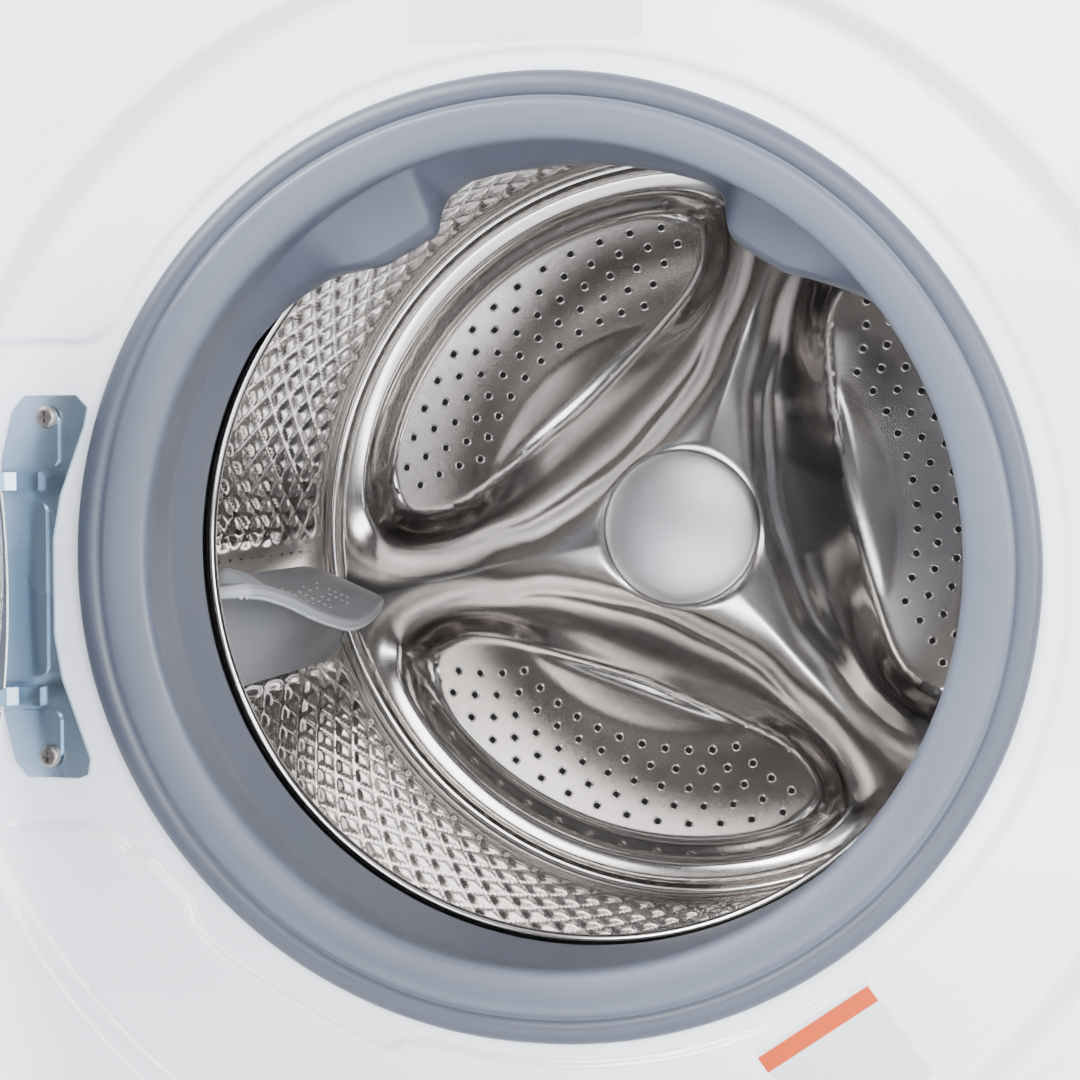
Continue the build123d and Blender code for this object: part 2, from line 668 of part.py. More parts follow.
# ---------------------------------------------------------------- tub
def tub():
    """The plastic tub in two halves, joined by screws, with its bearing hub moulded into the rear half."""
    outer_r = TUB_R + TUB_WALL
    front = [
        (TUB_NECK_R, SEAL_Y + 77.0),
        (TUB_NECK_R, TUB_FRONT_Y),
        (TUB_R - 8, TUB_FRONT_Y),
        (TUB_R, TUB_FRONT_Y + 10),
        (TUB_R, TUB_SPLIT_Y),
    ]
    with BuildPart() as front_half:
        profile = front + [
            (outer_r + 10, TUB_SPLIT_Y),
            (outer_r + 10, TUB_SPLIT_Y - 8),
            (outer_r, TUB_SPLIT_Y - 8),
            (outer_r, TUB_FRONT_Y + 8),
            (TUB_R - 5, TUB_FRONT_Y - 5),
            (TUB_NECK_R + 5, TUB_FRONT_Y - 5),
            (TUB_NECK_R + 5, SEAL_Y + 77.0),
        ]
        add(ring(profile))
        with BuildSketch(Plane.XY.offset(SUMP_Z)):
            with Locations((SUMP_X, SUMP_Y)):
                Circle(20)
        extrude(amount=50)
        with BuildSketch(Plane.XY.offset(SUMP_Z - 1)):
            with Locations((SUMP_X, SUMP_Y)):
                Circle(16.5)
        extrude(amount=60, mode=Mode.SUBTRACT)
        with BuildSketch(Plane.XY.offset(FILL_Z)):
            with Locations(((DRAWER_X[0] + DRAWER_X[1]) / 2, FILL_Y)):
                Circle(17)
        extrude(amount=-60)
        with BuildSketch(Plane.XY.offset(FILL_Z + 1)):
            with Locations(((DRAWER_X[0] + DRAWER_X[1]) / 2, FILL_Y)):
                Circle(14)
        extrude(amount=-70, mode=Mode.SUBTRACT)
        with BuildSketch(facing(TUB_SPLIT_Y + 1)):
            Circle(TUB_R + 0.5)
        extrude(amount=TUB_SPLIT_Y - TUB_FRONT_Y - 12, mode=Mode.SUBTRACT)
    keep(front_half.part, "tub_front")
    with BuildPart() as rear_half:
        profile = [
            (TUB_R, TUB_SPLIT_Y + 0.1),
            (TUB_R, TUB_BACK_Y - 12),
            (TUB_R - 10, TUB_BACK_Y),
            (58.0, TUB_BACK_Y),
            (48.0, TUB_BACK_Y - 6),
            (FRONT_BEARING_R, TUB_BACK_Y - 6),
            (FRONT_BEARING_R, TUB_BACK_Y + 14),
            (SHAFT_R + 6, TUB_BACK_Y + 14),
            (SHAFT_R + 6, TUB_BACK_Y + 40),
            (REAR_BEARING_R, TUB_BACK_Y + 40),
            (REAR_BEARING_R, TUB_BACK_Y + 58),
            (REAR_BEARING_R + 12, TUB_BACK_Y + 58),
            (REAR_BEARING_R + 24, TUB_BACK_Y + 6),
            (TUB_R - 8, TUB_BACK_Y + 6),
            (outer_r, TUB_BACK_Y - 10),
            (outer_r, TUB_SPLIT_Y + 8),
            (outer_r + 10, TUB_SPLIT_Y + 8),
            (outer_r + 10, TUB_SPLIT_Y + 0.1),
        ]
        add(ring(profile))
        with BuildSketch(facing(TUB_BACK_Y + 5)):
            with PolarLocations(212, 12):
                Rectangle(140, 4)
        extrude(amount=-13)
        pin_x, pin_z = DAMPER_TUB
        with BuildSketch(Plane.XZ.offset(14)):
            with Locations(*[(s * pin_x, pin_z) for s in (-1, 1)]):
                Circle(5)
        extrude(amount=-58)
        with Locations(*[(s * pin_x, 60.0, pin_z + 12) for s in (-1, 1)]):
            Box(26, 32, 44)
        for s in (-1, 1):
            with Locations((s * HANGER_X, HANGER_Y, HANGER_Z - 144)):
                Box(16, 14, 40)
    keep(rear_half.part, "tub_rear")
    with BuildPart() as screws:
        with BuildSketch(facing(TUB_SPLIT_Y - 12)):
            with PolarLocations(outer_r + 5.2, 16, start_angle=11.25):
                RegularPolygon(3.6, 6)
        extrude(amount=-3.9)
    keep(Compound(screws.part.solids()), "tub_screws")


def counterweights():
    """Two concrete arcs on the front of the tub, above and below its mouth, with rounded corners."""
    inner_r, outer_r = TUB_NECK_R + 18, TUB_R + 4

    def at(radius, angle):
        return (radius * cos(radians(angle)), radius * sin(radians(angle)))

    solids = []
    for first, last in ((25, 155), (205, 335)):
        middle = (first + last) / 2
        with BuildPart() as block:
            with BuildSketch(facing(TUB_FRONT_Y - 5.3)):
                with BuildLine():
                    ThreePointArc(at(inner_r, first), at(inner_r, middle), at(inner_r, last))
                    Line(at(inner_r, last), at(outer_r, last))
                    ThreePointArc(at(outer_r, last), at(outer_r, middle), at(outer_r, first))
                    Line(at(outer_r, first), at(inner_r, first))
                make_face()
            extrude(amount=42)
            fillet(block.edges().filter_by(Axis.Y), 8)
            chamfer(block.faces().sort_by(Axis.Y)[0].edges(), 3)
        solids += block.part.solids()
    keep(Compound(solids), "counterweights")


def bearings():
    """Two deep groove bearings on the shaft, each as a plain ring between shaft and hub."""
    with BuildPart() as races:
        front_y, rear_y = TUB_BACK_Y - 5, TUB_BACK_Y + 40.5
        for y, radius, length in (
            (front_y, FRONT_BEARING_R, 18.5),
            (rear_y, REAR_BEARING_R, 17.0),
        ):
            with BuildSketch(facing(y)):
                Circle(radius - BEARING_GAP)
                Circle(SHAFT_R + BEARING_GAP, mode=Mode.SUBTRACT)
            extrude(amount=-length)
    keep(Compound(races.part.solids()), "shaft_bearings")


def motor():
    """The direct drive motor: a ring of wound teeth on the tub and a cup of magnets on the shaft."""
    stator_y = TUB_BACK_Y + 20
    with BuildPart() as stator:
        with BuildSketch(facing(stator_y)):
            Circle(92)
            Circle(66, mode=Mode.SUBTRACT)
            with PolarLocations(106, 36):
                Rectangle(36, 9)
        extrude(amount=-26)
        with BuildSketch(facing(TUB_BACK_Y + 6.2)):
            with PolarLocations(79, 6):
                Circle(7)
        extrude(amount=-14.5)
    keep(stator.part, "motor_stator")
    back_y = stator_y + 42
    rotor_profile = [
        (SHAFT_R + BEARING_GAP, back_y - 3),
        (125.5, back_y - 3),
        (125.5, stator_y + 2),
        (132.0, stator_y + 2),
        (132.0, back_y),
        (SHAFT_R + BEARING_GAP, back_y),
    ]
    with BuildPart() as rotor:
        add(ring(rotor_profile))
        with BuildSketch(facing(back_y - 10)):
            with PolarLocations(80, 9):
                SlotOverall(50, 18)
        extrude(amount=-20, mode=Mode.SUBTRACT)
    keep(rotor.part, "motor_rotor")


def suspension_springs():
    """Two coil springs that hang the tub from the cabinet's sides, with a plain loop at each end."""
    coils, wire, radius, height = 14, 1.7, 11.0, 118.0
    solids = []
    for s in (-1, 1):
        foot = (s * HANGER_X, HANGER_Y, HANGER_Z - height - 2.5)
        with BuildPart() as spring:
            with BuildLine() as coil:
                Helix(height / coils, height, radius, center=foot)
            with BuildSketch(Plane(origin=coil.line @ 0, z_dir=coil.line % 0)):
                Circle(wire)
            sweep(path=coil.line, is_frenet=True)
        solids += spring.part.solids()
    keep(Compound(solids), "suspension_springs")


def damper(side, sign):
    """A friction damper: a cylinder pinned to the base and a rod whose eye goes round the tub's pin."""
    top = Vector(sign * DAMPER_TUB[0], 0, DAMPER_TUB[1])
    foot = Vector(sign * DAMPER_BASE[0], 0, DAMPER_BASE[1])
    along = (top - foot).normalized()
    length = (top - foot).length
    at_foot = Plane(origin=foot, x_dir=(0, 1, 0), z_dir=along)
    eye_plane = Plane(origin=foot, x_dir=(1, 0, 0), z_dir=(0, 1, 0))
    top_plane = Plane(origin=top, x_dir=(1, 0, 0), z_dir=(0, 1, 0))
    with BuildPart() as cylinder:
        with BuildSketch(at_foot.offset(12)):
            Circle(17)
        extrude(amount=length * 0.58)
        with BuildSketch(eye_plane.offset(-12)):
            Circle(13)
        extrude(amount=24)
        with BuildSketch(at_foot.offset(22)):
            Circle(13)
        extrude(amount=length, mode=Mode.SUBTRACT)
        with BuildSketch(eye_plane.offset(-20)):
            Circle(5.08)
        extrude(amount=40, mode=Mode.SUBTRACT)
    keep(cylinder.part, f"damper_cylinder_{side}")
    with BuildPart() as rod:
        with BuildSketch(at_foot.offset(length * 0.42)):
            Circle(9)
        extrude(amount=length * 0.58 - 8)
        with BuildSketch(at_foot.offset(length * 0.42)):
            Circle(12.6)
        extrude(amount=14)
        with BuildSketch(top_plane.offset(-12)):
            Circle(13)
        extrude(amount=24)
        with BuildSketch(top_plane.offset(-20)):
            Circle(5.08)
        extrude(amount=40, mode=Mode.SUBTRACT)
    keep(rod.part, f"damper_rod_{side}")


def hoses():
    """The bellows from the drawer housing to the tub, and the sump hose from the tub to the pump."""
    mid_x = (DRAWER_X[0] + DRAWER_X[1]) / 2
    top_z = CONTROL_Z - 60
    bottom_z = FILL_Z - 10
    steps = 12
    rise = (top_z - bottom_z) / steps
    with BuildPart() as bellows:
        with BuildSketch(Plane.XZ.offset(-FILL_Y)):
            with BuildLine():
                outside = [(mid_x + (20.3 if i % 2 else 24), bottom_z + i * rise) for i in range(steps + 1)]
                inside = [(x - 2.8, z) for x, z in reversed(outside)]
                Polyline(*outside, *inside, close=True)
            make_face()
        revolve(axis=Axis((mid_x, FILL_Y, 0), (0, 0, 1)))
    sections = (
        (PUMP_X, PUMP_INLET_Y, PUMP_Z + 52.0),
        (PUMP_X, PUMP_INLET_Y, PUMP_Z + 74.0),
        (SUMP_X, SUMP_Y, SUMP_Z - 2.0),
        (SUMP_X, SUMP_Y, SUMP_Z + 9.0),
    )
    with BuildPart() as sump:
        for radius, mode in ((23.0, Mode.ADD), (20.3, Mode.SUBTRACT)):
            for lower, upper in zip(sections, sections[1:]):
                with BuildSketch(Plane(origin=lower), Plane(origin=upper)):
                    Circle(radius)
                loft(mode=mode)
    keep(Compound(bellows.part.solids() + sump.part.solids()), "tub_hoses")


# ---------------------------------------------------------------- drum
def drum_wall():
    """The rolled sheet of the drum, with a crimped bead where it meets the front ring and the back."""
    front_y = DRUM_LIP_Y + 34
    path = [
        (DRUM_R, front_y),
        (DRUM_R + 3, front_y + 5),
        (DRUM_R, front_y + 10),
        (DRUM_R, DRUM_SEAM_Y - 12),
        (DRUM_R + 4, DRUM_SEAM_Y - 7),
        (DRUM_R + 4, DRUM_SEAM_Y),
    ]
    with BuildPart() as barrel:
        add(ring(wall(path, DRUM_SHEET)))
    keep(barrel.part, "drum_wall")


def drum_front_ring():
    """The drum's front: a curved collar that rolls into the lip around the mouth."""
    path = [
        (DRUM_R - 1.2, DRUM_LIP_Y + 37.0),
        (DRUM_R - 2.0, DRUM_LIP_Y + 24),
        (DRUM_R - 7, DRUM_LIP_Y + 14),
        (DRUM_R - 22, DRUM_LIP_Y + 8),
        (DRUM_LIP_R + 14, DRUM_LIP_Y + 5),
        (DRUM_LIP_R + 5, DRUM_LIP_Y),
        (DRUM_LIP_R + 1, DRUM_LIP_Y + 1),
        (DRUM_LIP_R, DRUM_LIP_Y + 6),
        (DRUM_LIP_R + 1, DRUM_LIP_Y + 12),
    ]
    with BuildPart() as collar:
        add(ring(wall(path[::-1], DRUM_SHEET)))
    keep(collar.part, "drum_front_ring")


def pocket_outline(outer_r, inner_r, half_angle, angle):
    """Draws one pocket: an arc along the drum's edge, closed by an arc that bulges towards the centre."""

    def at(radius, offset):
        return (radius * cos(radians(angle + offset)), radius * sin(radians(angle + offset)))

    ThreePointArc(at(outer_r, -half_angle), at(outer_r, 0), at(outer_r, half_angle))
    ThreePointArc(at(outer_r, half_angle), at(inner_r, 0), at(outer_r, -half_angle))


def drum_back():
    """The drum's back sheet with its three deep pockets, perforated in five arcs of holes each."""
    rim = [
        (DRUM_R + 2.8, DRUM_SEAM_Y - 6),
        (DRUM_R + 2.8, DRUM_SEAM_Y + 3),
        (30.0, DRUM_SEAM_Y + 3),
        (30.0, DRUM_SEAM_Y + 3 - DRUM_SHEET * 1.5),
        (DRUM_R - 3, DRUM_SEAM_Y + 3 - DRUM_SHEET * 1.5),
        (DRUM_R - 3, DRUM_SEAM_Y - 3),
        (DRUM_R - 1, DRUM_SEAM_Y - 6),
    ]
    hole_rows = ((225.5, 13), (212.3, 14), (198.6, 13), (184.3, 12), (169.5, 11))
    pitch = 6.1
    with BuildPart() as back:
        add(ring(rim))
        for angle in LOBE_ANGLES:
            for grow, start_y, end_y, mode in (
                (1.6, DRUM_SEAM_Y + 1.5, DRUM_FLOOR_Y + 1.5, Mode.ADD),
                (0.0, DRUM_SEAM_Y + 1.4, DRUM_FLOOR_Y, Mode.SUBTRACT),
            ):
                with BuildSketch(facing(start_y)):
                    with BuildLine():
                        pocket_outline(256.0 + grow, 68.0 - grow, 54.0 + grow / 4, angle)
                    make_face()
                    fillet(vertices(), 26)
                with BuildSketch(facing(end_y)):
                    with BuildLine():
                        pocket_outline(241.0 + grow, 118.0 - grow, 49.0 + grow / 4, angle)
                    make_face()
                    fillet(vertices(), 18)
                loft(mode=mode)
        for angle in LOBE_ANGLES:
            with BuildSketch(facing(DRUM_FLOOR_Y - 4)):
                for radius, count in hole_rows:
                    with PolarLocations(
                        radius, count, start_angle=angle - pitch * (count - 1) / 2,
                        angular_range=pitch * (count - 1), endpoint=True,
                    ):
                        Circle(2.6)
            extrude(amount=-10, mode=Mode.SUBTRACT)
    keep(back.part, "drum_back")


def hub_cap():
    """The domed cap over the drum's fixing in the middle of its back."""
    y = DRUM_SEAM_Y + 1.4
    profile = [
        (0.0, y),
        (HUB_CAP_R, y),
        (HUB_CAP_R + 1, y - 3),
        (HUB_CAP_R - 2, y - 6),
        (HUB_CAP_R - 16, y - 9),
        (25.0, y - 11),
        (0.0, y - 12),
    ]
    with BuildPart() as cap:
        add(ring(profile))
    keep(cap.part, "hub_cap")


def spider_and_shaft():
    """The three armed aluminium spider on the back of the drum, and the steel shaft cast into it."""
    spider_y = DRUM_SEAM_Y + 3.2
    with BuildPart() as spider:
        with BuildSketch(facing(spider_y)):
            Circle(44)
            with PolarLocations(150, 3, start_angle=LOBE_ANGLES[0] + 60):
                Rectangle(222, 26)
        extrude(amount=-22)
        with BuildSketch(facing(spider_y + 22)):
            Circle(40)
        extrude(amount=-(TUB_BACK_Y - 7 - spider_y - 22))
        with BuildSketch(facing(spider_y - 1)):
            Circle(SHAFT_R + BEARING_GAP)
        extrude(amount=-120, mode=Mode.SUBTRACT)
    keep(spider.part, "drum_spider")
    with BuildPart() as shaft:
        with BuildSketch(facing(spider_y + 2)):
            Circle(SHAFT_R)
        extrude(amount=-(TUB_BACK_Y + 70 - spider_y - 2))
        with BuildSketch(facing(TUB_BACK_Y + 62.2)):
            Circle(24)
            Circle(SHAFT_R - 1, mode=Mode.SUBTRACT)
        extrude(amount=-9)
    keep(shaft.part, "drum_shaft")


def lifters():
    """Two opposite paddles along the drum wall, lofted from a broad foot to a narrow rounded crest."""
    front_y, back_y = DRUM_LIP_Y + 46, DRUM_SEAM_Y - 34
    foot_r, crest_r = DRUM_R - 3.0, DRUM_R - LIFTER_HEIGHT
    solids = []
    for angle in LIFTER_ANGLES:
        a = radians(angle)
        outward = Vector(cos(a), 0, sin(a))
        middle = (front_y + back_y) / 2
        with BuildPart() as paddle:
            for radius, long_side, short_side in (
                (foot_r - 4, back_y - front_y, 92.0),
                (foot_r - 32, back_y - front_y - 18, 56.0),
                (crest_r, back_y - front_y - 70, 24.0),
            ):
                origin = outward * radius + Vector(0, middle, AXIS_Z)
                with BuildSketch(Plane(origin=origin, x_dir=(0, 1, 0), z_dir=outward)):
                    RectangleRounded(long_side, short_side, short_side * 0.42)
            loft(ruled=True)
        solids += paddle.part.solids()
    keep(Compound(solids), "drum_lifters")


# ---------------------------------------------------------------- door
def hinge_plate():
    """The zinc plated hinge on the panel: a flanged plate with two arms that curl out to the pin."""
    plate_y = SEAL_Y - 0.2
    mid = HINGE_MID_Z
    with BuildPart() as plate:
        with BuildSketch(facing(plate_y, mid)):
            with BuildLine():
                Polyline(
                    (-261, 96), (-233, 96), (-227, 90), (-229, 80), (-242, 46), (-246, 24),
                    (-246, -24), (-242, -46), (-227, -86), (-228, -94), (-233, -96), (-261, -96),
                    (-268, -88), (-274, -64), (-274, 64), (-268, 88), close=True,
                )
            make_face()
        extrude(amount=2.0)
        for pad_x, low, high, pad_width in ((-255, 56, 92, 26), (-259, -49, 47, 20), (-255, -92, -58, 26)):
            with BuildSketch(facing(plate_y - 2.0, mid)):
                with Locations((pad_x, (low + high) / 2)):
                    RectangleRounded(pad_width, high - low - 8, 5)
            extrude(amount=1.6)
        for offset in ARM_OFFSETS:
            with BuildSketch(Plane.XY.offset(mid + offset - 4.5)):
                with BuildLine():
                    Polyline(
                        (-252, plate_y - 1.9), (-267, plate_y - 1.9), (-273.5, plate_y - 6),
                        (-280, HINGE_Y + 3), (-273, HINGE_Y + 3), (-268.5, plate_y - 9),
                        (-264, plate_y - 5.4), (-252, plate_y - 5.4), close=True,
                    )
                make_face()
                with Locations((HINGE_X, HINGE_Y)):
                    Circle(5.6)
            extrude(amount=9)
            with BuildSketch(Plane.XY.offset(mid + offset - 10)):
                with Locations((HINGE_X, HINGE_Y)):
                    Circle(HINGE_PIN_R + 0.08)
            extrude(amount=20, mode=Mode.SUBTRACT)
        with BuildSketch(facing(plate_y + 5, mid)):
            with Locations(*HINGE_SCREWS):
                Circle(3.2)
        extrude(amount=20, mode=Mode.SUBTRACT)
    keep(plate.part, "hinge_plate")
    with BuildPart() as screws:
        with BuildSketch(facing(plate_y - 3.7, mid)):
            with Locations(*HINGE_SCREWS):
                Circle(5.6)
        extrude(amount=3.4)
        fillet(screws.faces().sort_by(Axis.Y)[0:2].edges(), 2.2)
        with BuildSketch(facing(plate_y - 3.7, mid)):
            with Locations(*HINGE_SCREWS):
                Circle(2.9)
        extrude(amount=-3.4)
        for x, z in HINGE_SCREWS:
            with Locations((x, plate_y - 7.1, mid + z)):
                Box(5.2, 4.4, 1.1, mode=Mode.SUBTRACT)
                Box(1.1, 4.4, 5.2, mode=Mode.SUBTRACT)
    keep(Compound(screws.part.solids()), "hinge_screws")


def swing_open(part, name):
    """Turns a door piece from its shut place to where it stands open, and keeps it."""
    keep(part.rotate(HINGE_LINE, DOOR_OPEN), name)


def hinge_space():
    """The room that the hinge takes inside the shut door: a cavity for the leaf and a notch for each arm."""
    with BuildPart() as space:
        with Locations((-265.5, HINGE_Y, HINGE_MID_Z)):
            Box(35, 14, 100)
        for offset in ARM_OFFSETS:
            with BuildSketch(Plane.XY.offset(HINGE_MID_Z + offset - 5.5)):
                with Locations((HINGE_X, HINGE_Y)):
                    Circle(32)
                with Locations((HINGE_X, HINGE_Y - 27)):
                    Rectangle(80, 40, mode=Mode.SUBTRACT)
            extrude(amount=11)
    return space.part


def door():
    """The door, built shut: outer and inner rings, the glass bowl, the outer cover, hinge leaf and hook."""
    front_y, split_y, rear_y = SEAL_Y - 46, SEAL_Y - 28, SEAL_Y - 12
    window_r = 192.5
    space = hinge_space()
    with BuildPart() as outer:
        profile = [
            (DOOR_R - 2.6, rear_y - 2.6),
            (DOOR_R, rear_y - 8),
            (DOOR_R, front_y + 10),
            (DOOR_R - 6, front_y),
            (DOOR_R - 36, front_y - 8),
            (DOOR_R - 39, front_y - 8),
            (DOOR_R - 39, front_y - 2),
            (DOOR_R - 8, front_y + 6),
            (DOOR_R - 3, front_y + 13),
            (DOOR_R - 3, rear_y - 8.2),
            (DOOR_R - 4.6, rear_y - 4.8),
        ]
        add(ring(profile, DOOR_Z, DOOR_X))
        add(space, mode=Mode.SUBTRACT)
    swing_open(outer.part, "door_outer_ring")
    with BuildPart() as cover:
        cover_r = DOOR_R - 39.5
        profile = [
            (0.0, front_y - 27),
            (cover_r * 0.54, front_y - 24),
            (cover_r * 0.85, front_y - 15),
            (cover_r, front_y - 7.5),
            (cover_r, front_y - 2.5),
            (cover_r * 0.85, front_y - 11),
            (cover_r * 0.54, front_y - 20),
            (0.0, front_y - 23),
        ]
        add(ring(profile, DOOR_Z, DOOR_X))
    swing_open(cover.part, "door_cover")
    with BuildPart() as inner:
        profile = [
            (DOOR_R - 5, split_y),
            (DOOR_R - 5, rear_y - 4.4),
            (DOOR_R - 7, rear_y - 1),
            (DOOR_R - 11, rear_y),
            (160.0, rear_y),
            (160.0, split_y),
        ]
        add(ring(profile, DOOR_Z, DOOR_X))
        with BuildSketch(facing(rear_y + 30)):
            Circle(window_r)
        extrude(amount=60, mode=Mode.SUBTRACT)
        rebate = [(window_r - 2, rear_y - 5), (204.0, rear_y - 5), (204.0, split_y - 1), (window_r - 2, split_y - 1)]
        add(ring(rebate), mode=Mode.SUBTRACT)
        with Locations((HOOK_PIN_X, rear_y - 3, DOOR_Z)):
            Box(14, 20, 34, mode=Mode.SUBTRACT)
        with BuildSketch(Plane.XY.offset(DOOR_Z - 20)):
            with Locations((HOOK_PIN_X, split_y + 8)):
                Circle(2.58)
        extrude(amount=40, mode=Mode.SUBTRACT)
        add(space, mode=Mode.SUBTRACT)
    swing_open(inner.part, "door_inner_ring")
    bowl_path = [
        (203.0, rear_y - 9),
        (191.5, rear_y - 9),
        (191.0, rear_y + 4),
        (185.0, SEAL_Y + 22),
        (172.0, SEAL_Y + 52),
        (152.0, SEAL_Y + 66),
        (110.0, SEAL_Y + 72),
        (0.0, SEAL_Y + 74),
    ]
    with BuildPart() as bowl:
        inside = [(max(r - 4.5, 0), y - (3.5 if r < 160 else 0.5)) for r, y in bowl_path[1:]]
        inside[0] = (186.0, rear_y - 12.5)
        inside[-1] = (0.0, SEAL_Y + 70)
        add(ring(bowl_path + inside[::-1] + [(203.0, rear_y - 12.5)]))
    swing_open(bowl.part, "door_glass")
    with BuildPart() as leaf:
        for low, high in ((35.0, 47.5), (-49.5, -37.0)):
            with BuildSketch(Plane.XY.offset(HINGE_MID_Z + low)):
                with Locations((HINGE_X, HINGE_Y)):
                    Circle(5.6)
                with Locations((HINGE_X + 9, HINGE_Y)):
                    Rectangle(18, 3)
            extrude(amount=high - low)
        with Locations((-260, HINGE_Y, HINGE_MID_Z - 1)):
            Box(18, 3, 92)
        with BuildSketch(Plane.XY.offset(HINGE_MID_Z - 60)):
            with Locations((HINGE_X, HINGE_Y)):
                Circle(HINGE_PIN_R)
        extrude(amount=118)
    swing_open(leaf.part, "door_hinge_leaf")
    with BuildPart() as hook:
        with BuildSketch(Plane.XY.offset(DOOR_Z - 14)):
            with BuildLine():
                Polyline(
                    (HOOK_PIN_X - 4, split_y + 4), (HOOK_PIN_X + 4, split_y + 4),
                    (HOOK_PIN_X + 3.5, SEAL_Y + 12), (HOOK_PIN_X - 2, SEAL_Y + 16),
                    (HOOK_PIN_X - 5.5, SEAL_Y + 12), (HOOK_PIN_X - 5.5, SEAL_Y + 7),
                    (HOOK_PIN_X - 1, SEAL_Y + 7), (HOOK_PIN_X - 1, rear_y), close=True,
                )
            make_face()
        extrude(amount=28)
        with BuildSketch(Plane.XY.offset(DOOR_Z - 19.5)):
            with Locations((HOOK_PIN_X, split_y + 8)):
                Circle(2.5)
        extrude(amount=39)
    swing_open(hook.part, "door_hook")


def door_lock():
    """The interlock behind the panel: a box whose slot takes the door's hook."""
    with BuildPart() as lock:
        with Locations((HOOK_PIN_X + 6, SEAL_Y + SHEET + 20, DOOR_Z)):
            Box(40, 39, 74)
        with Locations((HOOK_PIN_X + 4, SEAL_Y + SHEET + 12, DOOR_Z)):
            Box(20, 30, 46, mode=Mode.SUBTRACT)
    keep(lock.part, "door_lock")


def main():
    os.makedirs("parts", exist_ok=True)
    cabinet_shell()
    base_frame()
    feet()
    top_panel()
    front_panel()
    rear_cover()
    panel_screws()
    control_fascia()
    display_window()
    control_board()
    knob()
    button("start_button", 272, 0, 40, 40)
    button("power_button", -85, 0, 24, 24)
    for number, x in enumerate((125, 185), 1):
        button(f"option_button_{number}", x, -28, 35, 13)
    drawer()
    inlet_valves()
    rear_outlets()
    pump()
    door_seal()
    tub()
    counterweights()
    bearings()
    motor()
    suspension_springs()
    damper("left", -1)
    damper("right", 1)
    hoses()
    drum_wall()
    drum_front_ring()
    drum_back()
    hub_cap()
    spider_and_shaft()
    lifters()
    hinge_plate()
    door()
    door_lock()


main()
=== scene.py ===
"""Visual model of the front load washing machine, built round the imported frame, in metres."""

import json
import logging
import math
from dataclasses import dataclass
from enum import Enum
from typing import Sequence

import bpy
import numpy as np
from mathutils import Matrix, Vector


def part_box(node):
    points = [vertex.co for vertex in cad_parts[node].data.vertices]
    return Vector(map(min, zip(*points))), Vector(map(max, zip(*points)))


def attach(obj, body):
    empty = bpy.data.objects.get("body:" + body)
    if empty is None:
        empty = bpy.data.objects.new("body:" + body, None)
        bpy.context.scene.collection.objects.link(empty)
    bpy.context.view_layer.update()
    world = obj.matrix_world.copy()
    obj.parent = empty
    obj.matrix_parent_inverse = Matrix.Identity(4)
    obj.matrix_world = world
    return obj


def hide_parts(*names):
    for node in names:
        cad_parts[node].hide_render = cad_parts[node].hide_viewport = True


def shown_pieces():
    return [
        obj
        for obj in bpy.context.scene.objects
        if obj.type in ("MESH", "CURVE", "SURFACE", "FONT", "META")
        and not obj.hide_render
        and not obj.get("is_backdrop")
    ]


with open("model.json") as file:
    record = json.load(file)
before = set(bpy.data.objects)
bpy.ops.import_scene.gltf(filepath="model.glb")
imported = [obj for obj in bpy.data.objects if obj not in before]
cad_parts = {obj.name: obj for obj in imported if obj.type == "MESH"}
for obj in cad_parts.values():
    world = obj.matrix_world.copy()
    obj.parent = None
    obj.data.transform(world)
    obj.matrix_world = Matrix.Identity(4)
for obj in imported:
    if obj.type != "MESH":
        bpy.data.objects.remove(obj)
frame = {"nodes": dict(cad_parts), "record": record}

LOG = logging.getLogger("washer")
MM = 0.001
AXIS_Z = 0.480
SEAL_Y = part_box("door_seal")[0].y + 9.0 * MM
FRONT_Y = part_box("front_panel")[0].y
LOBES = (12.0, 132.0, 252.0)
PADDLES = (12.0, 192.0)
SEED = 7


class Body(Enum):
    """The rigid bodies that the new pieces ride on."""

    CABINET = "cabinet"
    DRUM = "drum"
    DOOR = "door"


@dataclass(frozen=True)
class Finish:
    """One procedural finish: colour, gloss, and the scale and depth of its grain."""

    colour: tuple[float, float, float]
    roughness: float = 0.4
    metallic: float = 0.0
    grain: float = 60.0
    stretch: tuple[float, float, float] = (1.0, 1.0, 1.0)
    depth: float = 0.05
    mottle: float = 0.06
    gloss_spread: float = 0.08
    coat: float = 0.0
    transmission: float = 0.0
    specular: float = 0.5


